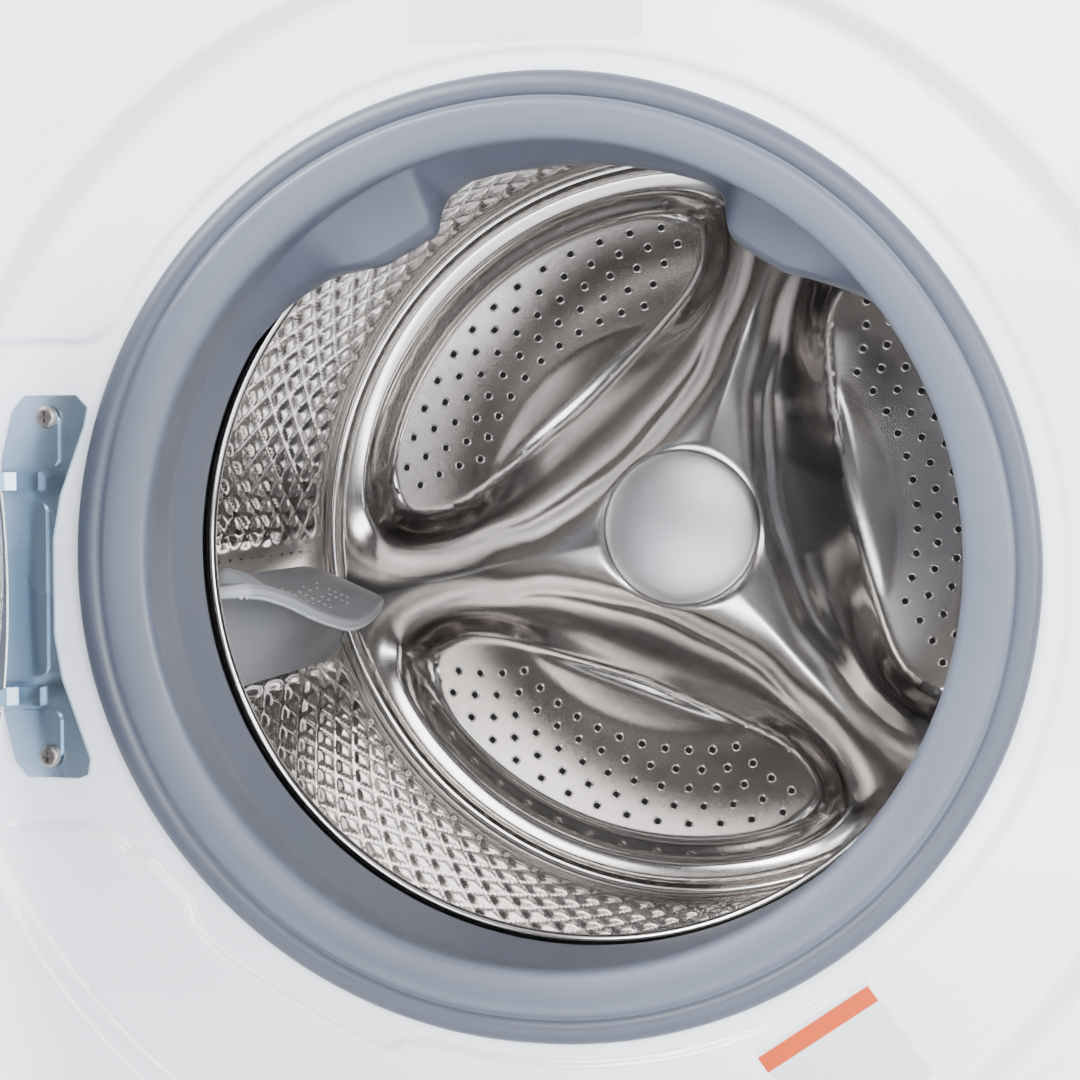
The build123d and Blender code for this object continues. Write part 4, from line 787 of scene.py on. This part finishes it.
    def build(self) -> bpy.types.Object:
        """Returns:
        The panel, riding on the cabinet.
        """
        box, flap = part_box("front_panel"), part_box("filter_flap")
        low, high, half = (box[0].z - AXIS_Z) / MM, (box[1].z - AXIS_Z) / MM, box[1].x / MM
        left, right = flap[0].x / MM + 4.0, flap[1].x / MM - 4.0
        sill, lintel = (flap[0].z - AXIS_Z) / MM - 2.0, (flap[1].z - AXIS_Z) / MM + 1.0
        split = lintel + 6.0
        x, z = self.spokes(half, high, split)
        front = at(x, FRONT_Y + (self.depth(x, z) + self.behind) * MM, z)
        skin = Skin()
        skin.grid(front, wrap=True)
        skin.cut(self.hook_slot)
        columns = (-half + self.inset, left, right, half - self.inset)
        self.add_plain(skin, columns, (split, lintel, sill, low + self.inset))
        self.add_returns(skin, (-half, half, low, high), (left, right, sill, lintel))
        back = front[::3] + (0.0, self.sheet * MM, 0.0)
        skin.grid(back, wrap=True, flip=True)
        slot = self.hook_slot
        skin.cut((slot[0] - 3, slot[1] + 3, slot[2], slot[3]))
        skin.grid(np.stack((front[0], back[0])), wrap=True, flip=True)
        piece = skin.build("panel_sheet", [self.paint("panel_white")])
        return hang(piece, Body.CABINET, ("front_panel",))


@dataclass
class Stickers:
    """Two blank stickers on the panel, one of them with a coloured band."""

    paint: Paint
    panel: FrontPanel

    def patch(
        self,
        name: str,
        corner: tuple[float, float],
        right: float,
        up: float,
        tilt: float,
        finish: str,
        lift: float,
    ) -> None:
        """Lays one thin label on the panel.

        Args:
            name: the piece's name.
            corner: its lower left corner from the drum's axis, in mm.
            right: its width.
            up: its height.
            tilt: its turn in degrees.
            finish: its finish.
            lift: how far it stands off the sheet, in mm.
        """
        a = math.radians(tilt)
        u, v = np.meshgrid(np.linspace(0, right, 40), np.linspace(0, up, 24))
        x = corner[0] + u * math.cos(a) - v * math.sin(a)
        z = corner[1] + u * math.sin(a) + v * math.cos(a)
        y = FRONT_Y + (self.panel.depth(x, z) - lift) * MM
        skin = Skin()
        skin.grid(at(x, y, z))
        hang(skin.build(name, [self.paint(finish)]), Body.CABINET)

    def build(self) -> None:
        """Lays both stickers."""
        self.patch("sticker_top", (-60, 243.6), 112, 30, -1.8, "sticker_paper", 0.15)
        self.patch("sticker_low", (137, -268), 62, 50, 36.6, "sticker_paper", 0.15)
        self.patch("sticker_low_band", (112.5, -236.5), 62, 8.2, 36.6, "sticker_orange", 0.25)


# ---------------------------------------------------------------- door seal
@dataclass
class DoorSeal:
    """The rubber bellows round the opening, with two thick lugs hanging from its upper rear edge."""

    paint: Paint
    rear: tuple = (
        (-180.0, 209.6), (24.0, 209.6), (34.0, 205.0), (41.0, 196.0),
        (46.0, 187.0), (51.5, 178.5), (56.5, 177.0),
        (61.6, 178.5), (63.3, 184.0), (65.5, 195.0), (69.0, 200.5),
        (78.0, 200.0), (97.0, 200.0), (106.0, 201.0),
        (110.0, 195.0), (112.3, 178.0), (118.0, 176.5), (123.5, 177.5), (128.0, 185.0), (132.5, 194.0),
        (140.0, 204.0), (149.0, 209.6), (180.0, 209.6),
    )
    oval: tuple = (
        (-180.0, 3.0), (-165.0, 3.5), (-135.0, 2.0), (-90.0, 1.0), (-45.0, 3.0), (-20.0, 3.5), (0.0, 2.5),
        (30.0, -1.0), (68.0, -2.5), (100.0, -1.5), (120.0, 0.0), (150.0, 2.0), (180.0, 3.0),
    )

    def build(self) -> bpy.types.Object:
        """Returns:
        The seal, riding on the cabinet.
        """
        angles = np.linspace(-180, 180, 541)[:-1]
        rear = np.interp(angles, [a for a, _ in self.rear], [r for _, r in self.rear])
        oval = np.interp(angles, [a for a, _ in self.oval], [r for _, r in self.oval])
        rear = np.convolve(np.concatenate((rear[-1:], rear, rear[:1])), np.ones(3) / 3, "valid")
        profile = (
            (229.4, 2.4, 1.0), (230.2, 0.6, 1.0), (230.0, -1.6, 1.0), (228.6, -3.6, 1.0), (226.0, -4.8, 1.0),
            (223.2, -5.2, 1.0), (220.8, -4.8, 1.0), (219.2, -3.6, 1.0),
            (218.3, -2.2, 1.0), (217.4, -2.2, 1.0),
            (216.4, -3.4, 0.9), (214.6, -3.8, 0.9), (211.0, -3.4, 0.8),
            (207.0, -2.2, 0.7), (203.0, -0.6, 0.6),
            (200.2, 0.9, 0.5), (198.4, 2.2, 0.45), (197.4, 3.8, 0.4), (197.2, 6.0, 0.35), (198.0, 10.0, 0.3),
            (199.6, 16.0, 0.2), (202.0, 24.0, 0.1), (204.6, 33.0, 0.0),
            (206.6, 42.0, 0.0), (208.4, 50.0, 0.0),
        )
        radius = np.array([[r + share * o for o in oval] for r, _, share in profile])
        depth = np.repeat(np.array([y for _, y, _ in profile])[:, None], len(angles), axis=1)
        lug = smooth_step(rear, 206, 182)
        rows_r, rows_y = [radius], [depth]
        for share, y, y_lug in (
            (0.03, 56.0, 50.6), (0.08, 60.0, 51.4), (0.55, 70.0, 57.0),
            (0.90, 78.0, 62.0), (0.93, 79.5, 62.6),
            (1.0, 88.0, 70.0), (1.0, 96.0, 80.0), (0.97, 98.0, 81.4), (0.6, 98.6, 83.0), (0.0, 99.0, 99.0),
        ):
            wall_r = 209.6 + (rear - 209.6) * share
            rows_r.append(wall_r[None, :])
            rows_y.append((y + (y_lug - y) * lug)[None, :])
        rows_r.append(np.full((1, len(angles)), 221.0))
        rows_y.append(np.full((1, len(angles)), 96.0))
        rows_r.append(np.full((1, len(angles)), 221.0))
        rows_y.append(np.full((1, len(angles)), 60.0))
        points = around(np.concatenate(rows_r), np.concatenate(rows_y), angles)
        skin = Skin()
        # The outer bead rows take the darker copy of the rubber, as painted shade on the bead.
        skin.grid(points[:9], wrap=True, flip=True, slot=1)
        skin.grid(points[8:], wrap=True, flip=True)
        outside = ((221.0, 60.0), (216.0, 40.0), (206.0, 12.0), (218.0, 6.0), (229.4, 2.4))
        skin.grid(revolve(outside, angles[::3]), wrap=True, flip=True)
        piece = skin.build("seal_bellows", [self.paint("seal_grey"), self.paint("seal_bead_painted_shade")])
        return hang(piece, Body.CABINET, ("door_seal",))


# ---------------------------------------------------------------- drum
@dataclass
class Drum:
    """The stainless drum: quilted wall, rolled lip, pressed back with three pockets, cap and paddles."""

    paint: Paint
    wall_r: float = 275.0
    lip: float = 109.0
    seam: float = 485.0
    pocket_floor: float = 520.0
    cells: int = 72
    cell_long: float = 38.0
    first_row: float = 168.0
    rows: int = 8
    eyelets: tuple = ((225.5, 13), (212.3, 14), (198.6, 13), (184.3, 12), (169.5, 11))
    pitch: float = 6.1
    paddle_rise: float = 60.0
    paddle_foot: float = 7.6
    paddle_turn: float = 1.5
    paddle_ends: tuple[float, float, float, float] = (150.0, 384.0, 90.5, 474.0)
    crest: tuple = (
        (138, -6.0), (184, -5.6), (234, -3.0), (276, 0.4), (332, 3.5), (370, 3.0), (408, 1.2), (478, -1.0),
    )
    crest_bead: tuple = ((-1.6, -0.55), (-2.2, 0.35), (-1.4, 1.1), (1.2, 1.55), (4.2, 1.45), (4.9, 1.1))
    upper_steps: int = 15
    lower_steps: int = 19
    rib_height: float = 0.34
    top_half: tuple = (
        (250, 0), (250, 10), (250, 20), (250, 30), (250, 38), (249, 44), (243, 49), (232, 51.5), (218, 52.5),
        (200, 53), (184, 53), (166, 52), (150, 50.5), (132, 49.3),
        (116, 47.5), (101, 42.5), (88, 36), (78, 27),
        (70, 17), (66, 8),
    )
    floor_half: tuple = (
        (240, 0), (240, 10), (240, 20), (240, 30), (238, 38), (232, 43), (223, 45.6), (210, 46.6), (197, 46),
        (184, 44.5), (172, 42), (160, 38), (149, 33), (140, 27), (132, 20), (126, 12), (123, 5),
    )

    def near_paddle(self, angles: np.ndarray) -> np.ndarray:
        """Args:
            angles: degrees.

        Returns:
            The distance to the nearest paddle, in degrees.
        """
        return np.abs((angles - PADDLES[0] + 90.0) % 180.0 - 90.0)

    def build_wall(self) -> None:
        """Makes the quilted wall, its plain outside and the small perforations, which are dark discs of
        painted shade.
        """
        angles = np.linspace(0, 360, 721)[:-1]
        end = self.first_row + self.rows * self.cell_long
        depth = np.concatenate(((146.0, 155.0), np.arange(self.first_row, end + 0.1, 3.8)))
        a, y = np.meshgrid(angles, depth)
        u = a / 360.0 * self.cells
        v = (y - self.first_row) / self.cell_long
        s, t = (u + v) % 1.0, (u - v) % 1.0
        edge = 2.0 * np.minimum(np.minimum(s, 1 - s), np.minimum(t, 1 - t))
        bulge = 1.0 - (1.0 - np.clip(edge * 1.25, 0, 1)) ** 2.2
        keep = smooth_step(self.near_paddle(a), 9.5, 11.5)
        keep *= smooth_step(y, self.first_row + 3, self.first_row + 12) * smooth_step(y, end - 3, end - 12)
        radius = self.wall_r - 0.9 - 2.5 * bulge * keep
        skin = Skin()
        skin.grid(around(radius, y, angles), wrap=True, flip=True)
        few = angles[::4]
        bead = (
            (self.wall_r - 0.9, end), (self.wall_r - 1.0, 475.6), (self.wall_r - 2.6, 477.4),
            (self.wall_r - 2.8, 479.4), (self.wall_r - 1.2, 481.2), (self.wall_r - 0.9, 484.4),
        )
        skin.grid(revolve(bead, few), wrap=True, flip=True)
        outside = ((self.wall_r + 3.6, 484.0), (self.wall_r + 1.0, 472.0), (self.wall_r + 1.0, 146.0))
        skin.grid(revolve(outside, few), wrap=True, flip=True)
        piece = skin.build("drum_quilted_wall", [self.paint("drum_steel")])
        hang(piece, Body.DRUM, ("drum_wall",))
        # The perforations are dark discs of painted shade, not real openings.
        dots = grow(
            "drum_perforations",
            lattice_tree(),
            {
                "Columns": self.cells * 2,
                "Rows": self.rows * 2 - 1,
                "Radius": (self.wall_r - 1.2) * MM,
                "Start": SEAL_Y + (self.first_row + self.cell_long * 0.25) * MM,
                "Pitch": self.cell_long * 0.5 * MM,
                "Strip": math.radians(8.0),
                "Dot": 1.25 * MM,
                "Material": self.paint("hole_painted_shade"),
            },
        )
        hang(dots, Body.DRUM)

    def build_lip(self) -> None:
        """Makes the front collar with its rolled lip."""
        angles = np.linspace(0, 360, 361)[:-1]
        turn = np.linspace(-150, 140, 13)
        roll_r = 210.2 - 3.2 * np.cos(np.radians(turn))
        roll_y = self.lip + 3.0 + 3.2 * np.sin(np.radians(turn))
        front = (
            (273.8, 146.4), (273.0, 131.0), (268.0, 121.6), (252.0, 116.2), (222.0, 114.8), (213.0, 111.4),
        )
        collar = (
            (214.0, 115.6), (222.0, 116.0), (252.0, 117.4), (267.0, 123.0), (272.0, 132.0), (273.6, 146.4),
        )
        skin = Skin()
        skin.grid(revolve((*front, *zip(roll_r[1:], roll_y[1:]), *collar), angles), wrap=True, flip=True)
        piece = skin.build("drum_rolled_lip", [self.paint("drum_steel")])
        hang(piece, Body.DRUM, ("drum_front_ring",))

    def back_depth(self, radius: np.ndarray, angles: np.ndarray) -> np.ndarray:
        """The pressed shape of the drum's back.

        Args:
            radius: radii in mm.
            angles: degrees, shaped the same.

        Returns:
            Depths behind the seal's plane in mm.
        """
        local = np.radians(np.abs((angles - LOBES[0] + 60.0) % 120.0 - 60.0))
        x, z = radius * np.cos(local), radius * np.sin(local)

        def outline(half: tuple) -> np.ndarray:
            one = [(r * math.cos(math.radians(b)), r * math.sin(math.radians(b))) for r, b in half]
            return rounded(one + [(px, -pz) for px, pz in one[:0:-1]])

        top = outline_distance(x, z, outline(self.top_half))
        floor = outline_distance(x, z, outline(self.floor_half))
        t = np.clip(np.where(floor >= 0, 1.0, top / np.maximum(top - floor, 1e-6)), 0, 1)
        pressed = t * t * (1.75 - 0.75 * t)
        flat = self.seam + 4.2
        crown = 7.5 * (1 - np.exp(-np.maximum(-top, 0) / 13.0))
        crown *= smooth_step(radius, 40, 56)
        depth = flat + (self.pocket_floor - flat) * pressed - np.where(top < 0, crown, 0.0)
        depth -= 3.4 * np.clip((158.0 - radius) / 36.0, 0, 1) * smooth_step(floor, 0.0, 6.0)
        edge = smooth_step(radius, 261.0, 268.0)
        depth += 8.0 * edge - 15.0 * smooth_step(radius, 271.0, 273.6)
        return depth

    def build_back(self) -> None:
        """Makes the back sheet with its pockets and their eyelets."""
        angles = np.linspace(0, 360, 541)[:-1]
        radii = np.concatenate((np.linspace(40, 60, 5)[:-1], runs(((60, 236, 78), (237.2, 273.6, 32)))))
        a, r = np.meshgrid(angles, radii)
        skin = Skin()
        depth = self.back_depth(r, a)
        for _ in range(3):
            turned = (np.roll(depth, 1, axis=1) + np.roll(depth, -1, axis=1) + 2 * depth) / 4
            depth[1:-1] = (turned[:-2] + turned[2:] + 2 * turned[1:-1]) / 4
        points = around(r, depth, angles)
        skin.grid(points, wrap=True, flip=False)
        shell = points[::4, ::4] + (0.0, 0.9 * MM, 0.0)
        skin.grid(shell, wrap=True, flip=True)
        piece = skin.build("drum_pressed_back", [self.paint("drum_steel")])
        hang(piece, Body.DRUM, ("drum_back",))
        spots = []
        for lobe in LOBES:
            for radius, count in self.eyelets:
                for i in range(count):
                    turn = math.radians(lobe + (i - (count - 1) / 2) * self.pitch)
                    spots.append((radius * math.cos(turn) * MM, AXIS_Z + radius * math.sin(turn) * MM))
        y = SEAL_Y + self.pocket_floor * MM
        ahead = [(0.0, -1.0, 0.0)] * len(spots)
        tree = stamp_tree()
        rims = grow(
            "pocket_eyelets",
            tree,
            {"Radius": 3.0 * MM, "Tube": 0.8 * MM, "Rim": True, "Material": self.paint("drum_steel")},
            [(sx, y - 0.05 * MM, sz) for sx, sz in spots],
            ahead,
        )
        hang(rims, Body.DRUM)
        # The holes inside the eyelets are dark discs of painted shade, not real openings.
        holes = grow(
            "pocket_holes",
            tree,
            {"Radius": 2.45 * MM, "Depth": 0.3 * MM, "Rim": False, "Material": self.paint("hole_painted_shade")},
            [(sx, y - 0.1 * MM, sz) for sx, sz in spots],
            ahead,
        )
        hang(holes, Body.DRUM)

    def build_cap(self) -> None:
        """Makes the satin cap in the middle of the back."""
        angles = np.linspace(0, 360, 181)[:-1]
        profile = (
            (0.05, 474.6), (18.0, 474.9), (34.0, 476.0), (46.0, 477.5),
            (52.5, 478.6), (55.4, 479.4), (56.8, 480.2),
            (57.6, 481.4), (58.0, 483.0), (58.2, 489.0), (40.0, 489.4), (0.05, 489.4),
        )
        skin = Skin()
        skin.grid(revolve(profile, angles), wrap=True)
        piece = skin.build("hub_dome", [self.paint("cap_steel")])
        hang(piece, Body.DRUM, ("hub_cap",))

    def paddle_points(self, paddle: float, depth: np.ndarray, rise: np.ndarray, sway: np.ndarray) -> tuple:
        """Lays out one paddle, from its upper foot over the crest to its lower foot.

        Args:
            paddle: its place round the drum, in degrees.
            depth: the places of its cross sections behind the seal, in mm.
            rise: the height of each.
            sway: the lean of each crest, in degrees.

        Returns:
            The points and the angle of each in radians.
        """
        centre = paddle + self.paddle_turn
        base = self.wall_r - 2.0
        rows = []
        for y, h, lean in zip(depth, rise, sway):
            full = h / self.paddle_rise
            top_r = base - h
            foot = self.paddle_foot * (0.25 + 0.75 * min(1.0, math.sqrt(full) * 1.05))
            row = []
            for s in np.linspace(0, 1, self.upper_steps):
                r = base - h * (s ** 0.92) - 2.2 * full * math.sin(math.pi * s)
                row.append((r, centre - foot + (foot + lean - 1.2 * full) * s ** 1.1))
            for dr, da in self.crest_bead:
                row.append((top_r + dr * full, centre + lean + (da - 0.4) * full))
            here = np.array(y)
            scoop = 2.0 + 5.6 * float(smooth_step(here, 300, 205) * smooth_step(here, 160, 185))
            ribbed = float(smooth_step(here, 320, 355))
            for s in np.linspace(0, 1, self.lower_steps)[1:]:
                r = top_r + 5.0 * full + (h - 5.0 * full) * s
                swing = centre + lean + 0.7 * full + (foot - lean - 0.7 * full) * s ** 1.35
                swing -= scoop * full * math.sin(math.pi * s ** 0.8)
                rib = math.sin(s * 44.0 - (y - 300) * 0.06)
                swing += self.rib_height * rib * ribbed * full * (1 - s)
                row.append((r, swing))
            rows.append(row)
        table = np.array(rows)
        turn, radius = np.radians(table[:, :, 1]), table[:, :, 0]
        y = np.repeat(depth[:, None], radius.shape[1], axis=1)
        return at(radius * np.cos(turn), SEAL_Y + y * MM, radius * np.sin(turn)), turn

    def build_paddles(self) -> None:
        """Makes the two hollow paddles with a wavy crest, a row of beads and fine ribs."""
        first, ridge, nose, last = self.paddle_ends
        near, middle = np.linspace(first, 170, 8)[:-1], np.linspace(170, 360, 48)[:-1]
        depth = np.concatenate((near, middle, np.linspace(360, last, 48)))
        fall = (np.clip(depth - ridge, 0, None) / nose) ** 2.2
        rise = self.paddle_rise * np.sqrt(np.clip(1 - fall, 0.0004, 1))
        rise *= np.sqrt(smooth_step(depth, 148, 172)).clip(0.02)
        sway = np.interp(depth, [y for y, _ in self.crest], [lean for _, lean in self.crest])
        sway = np.convolve(np.pad(sway, 4, mode="edge"), np.ones(9) / 9, "valid")
        band = self.upper_steps + 3
        skin = Skin()
        beads, facing, marks, mark_facing = [], [], [], []
        for paddle in PADDLES:
            points, turn = self.paddle_points(paddle, depth, rise, sway)
            skin.grid(points[:, : band - 1])
            skin.grid(points[:, band - 2 : band + 3], slot=1)
            skin.grid(points[:, band + 2 :])
            inward = -np.stack((np.cos(turn), np.zeros_like(turn), np.sin(turn)), axis=-1)
            for i in range(6, len(depth) - 26):
                beads.append(tuple(points[i, band]))
                tilt = np.array((math.sin(turn[i, band]), 0.0, -math.cos(turn[i, band])))
                facing.append(tuple(inward[i, band] * 0.6 - tilt * 0.8))
            rng = np.random.default_rng(SEED)
            across = np.cross(points[30, 12] - points[30, 4], points[34, 8] - points[26, 8])
            across /= np.linalg.norm(across)
            if np.dot(across, points[30, 8] - points[30, -6]) < 0:
                across = -across
            for line in range(9):
                for step in range(6):
                    i, j = 22 + line * 5, 5 + step + (line % 2)
                    if rng.random() < 0.82 and j < self.upper_steps - 1:
                        marks.append(tuple(points[i, j] + across * 0.1 * MM))
                        mark_facing.append(tuple(across))
        piece = skin.build("drum_paddles", [self.paint("lifter_grey"), self.paint("lifter_band")])
        hang(piece, Body.DRUM, ("drum_lifters",))
        tree, mark = stamp_tree(), self.paint("lifter_mark")
        for name, spots, ways, radius, deep in (
            ("paddle_beads", beads, facing, 1.25, 1.6),
            ("paddle_slits", marks, mark_facing, 1.0, 0.5),
        ):
            values = {"Radius": radius * MM, "Depth": deep * MM, "Rim": False, "Material": mark}
            hang(grow(name, tree, values, spots, ways), Body.DRUM)

    def build(self) -> None:
        """Makes all of the drum."""
        self.build_wall()
        self.build_lip()
        self.build_back()
        self.build_cap()
        self.build_paddles()


# ---------------------------------------------------------------- door
@dataclass
class DoorCover:
    """The domed smoked cover on the outside of the door."""

    paint: Paint

    def build(self) -> None:
        """Makes the cover where the open door carries it."""
        low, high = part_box("door_cover")
        centre = (low + high) / 2
        reach = (high.z - low.z) / 2
        deep = high.x - low.x
        rim_room = 6.0 * MM
        rows = np.linspace(0.002, 1.0, 26)
        turn = np.radians(np.linspace(0, 360, 145)[:-1])
        share, swing = np.meshgrid(rows, turn, indexing="ij")
        dome = (1 - share**2.2) * (deep - rim_room)
        rim = low.x + deep - 5.5 * MM
        width = (reach - 0.4 * MM) * share
        skin = Skin()
        for offset, flip in ((0.2 * MM, True), (4.2 * MM, False)):
            points = (rim - dome + offset, centre.y + width * np.cos(swing), centre.z + width * np.sin(swing))
            skin.grid(np.stack(points, axis=-1), wrap=True, flip=flip)
        piece = skin.build("door_dome", [self.paint("door_cover")])
        hang(piece, Body.DOOR, ("door_cover",))


# ---------------------------------------------------------------- studio
@dataclass(frozen=True)
class Lamp:
    """One soft light."""

    name: str
    place: tuple[float, float, float]
    aim: tuple[float, float, float]
    size: tuple[float, float]
    power: float
    colour: tuple[float, float, float] = (1.0, 1.0, 1.0)


@dataclass
class Studio:
    """The pale floor, the soft lights and the camera."""

    lamps: tuple = (
        Lamp("key", (-1.3, -1.9, 1.9), (0.0, -0.3, 0.5), (1.4, 1.1), 166.0, (1.0, 0.99, 0.98)),
        Lamp("fill", (1.9, -1.7, 1.0), (0.0, -0.3, 0.5), (0.9, 1.6), 78.0, (0.96, 0.98, 1.0)),
        Lamp("front", (0.30, -1.55, 1.00), (0.0, 0.1, 0.42), (0.9, 0.5), 17.0),
        Lamp("low", (0.2, -1.9, -0.1), (0.0, 0.0, 0.45), (2.2, 0.5), 46.0, (0.93, 0.96, 1.0)),
        Lamp("top", (0.0, -0.4, 2.6), (0.0, 0.0, 0.0), (2.4, 2.0), 30.0),
        Lamp("back", (0.8, 2.2, 1.8), (0.0, 0.3, 0.5), (2.0, 1.6), 26.0),
    )
    sky: tuple = (
        (0.46, (0.40, 0.43, 0.52, 1)),
        (0.54, (0.105, 0.085, 0.08, 1)),
        (0.72, (0.20, 0.175, 0.17, 1)),
    )
    sky_strength: float = 0.45

    def build(self) -> None:
        """Makes the studio."""
        scene = bpy.context.scene
        world = bpy.data.worlds.new("studio")
        world.use_nodes = True
        world.node_tree.nodes.clear()
        w = Wiring(world.node_tree)
        view = w.add("ShaderNodeTexCoord").outputs["Generated"]
        up = w.add("ShaderNodeSeparateXYZ", Vector=view).outputs["Z"]
        ramp = w.add("ShaderNodeValToRGB", Fac=w.math("ADD", w.math("MULTIPLY", up, 0.5), 0.5))
        stops = ramp.color_ramp.elements
        stops[0].position, stops[0].color = 0.0, (0.55, 0.60, 0.72, 1)
        stops[1].position, stops[1].color = 1.0, (0.60, 0.61, 0.64, 1)
        for place, colour in self.sky:
            stops.new(place).color = colour
        light = w.add("ShaderNodeBackground", Color=ramp.outputs[0], Strength=self.sky_strength)
        w.add("ShaderNodeOutputWorld", Surface=light.outputs[0])
        scene.world = world
        floor = Skin()
        x, y = np.meshgrid(np.linspace(-6, 6, 7), np.linspace(-6, 6, 7))
        floor.grid(np.stack((x, y, np.zeros_like(x)), axis=-1))
        pale = bpy.data.materials.new("studio_floor")
        pale.use_nodes = True
        shader = pale.node_tree.nodes["Principled BSDF"]
        shader.inputs["Base Color"].default_value = (0.80, 0.81, 0.84, 1)
        shader.inputs["Roughness"].default_value = 0.7
        floor.build("studio_floor", [pale])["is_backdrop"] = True
        for lamp in self.lamps:
            data = bpy.data.lights.new(lamp.name, "AREA")
            data.shape = "RECTANGLE"
            data.size, data.size_y = lamp.size
            data.energy = lamp.power
            data.color = lamp.colour
            thing = bpy.data.objects.new(lamp.name, data)
            thing.location = lamp.place
            thing.rotation_euler = (Vector(lamp.aim) - Vector(lamp.place)).to_track_quat("-Z", "Y").to_euler()
            scene.collection.objects.link(thing)
            thing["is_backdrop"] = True
        data = bpy.data.cameras.new("camera")
        data.lens = 60.0
        data.sensor_width = 36.0
        camera = bpy.data.objects.new("camera", data)
        camera.location = (0.192, SEAL_Y - 0.827, 0.520)
        camera.rotation_euler = (math.radians(90 - 2.12), 0.0, math.radians(12.82))
        scene.collection.objects.link(camera)
        scene.camera = camera
        camera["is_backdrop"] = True


def paint_frame(paint: Paint) -> None:
    """Gives every CAD node the finish of its material slot.

    Args:
        paint: the maker of materials.
    """
    slots = {row["node"]: row["material_slot"] for row in frame["record"]["subparts"]}
    for name, thing in frame["nodes"].items():
        thing.data.materials.clear()
        thing.data.materials.append(paint(slots[name]))


def main() -> None:
    """Builds the whole scene."""
    logging.basicConfig(level=logging.INFO)
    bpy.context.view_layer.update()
    paint = Paint()
    paint_frame(paint)
    panel = FrontPanel(paint)
    for part in (panel, Stickers(paint, panel), DoorSeal(paint), Drum(paint), DoorCover(paint), Studio()):
        part.build()
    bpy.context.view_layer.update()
    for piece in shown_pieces():
        LOG.info("%s: %d faces", piece.name, len(piece.data.polygons))


if __name__ == "__main__":
    main()
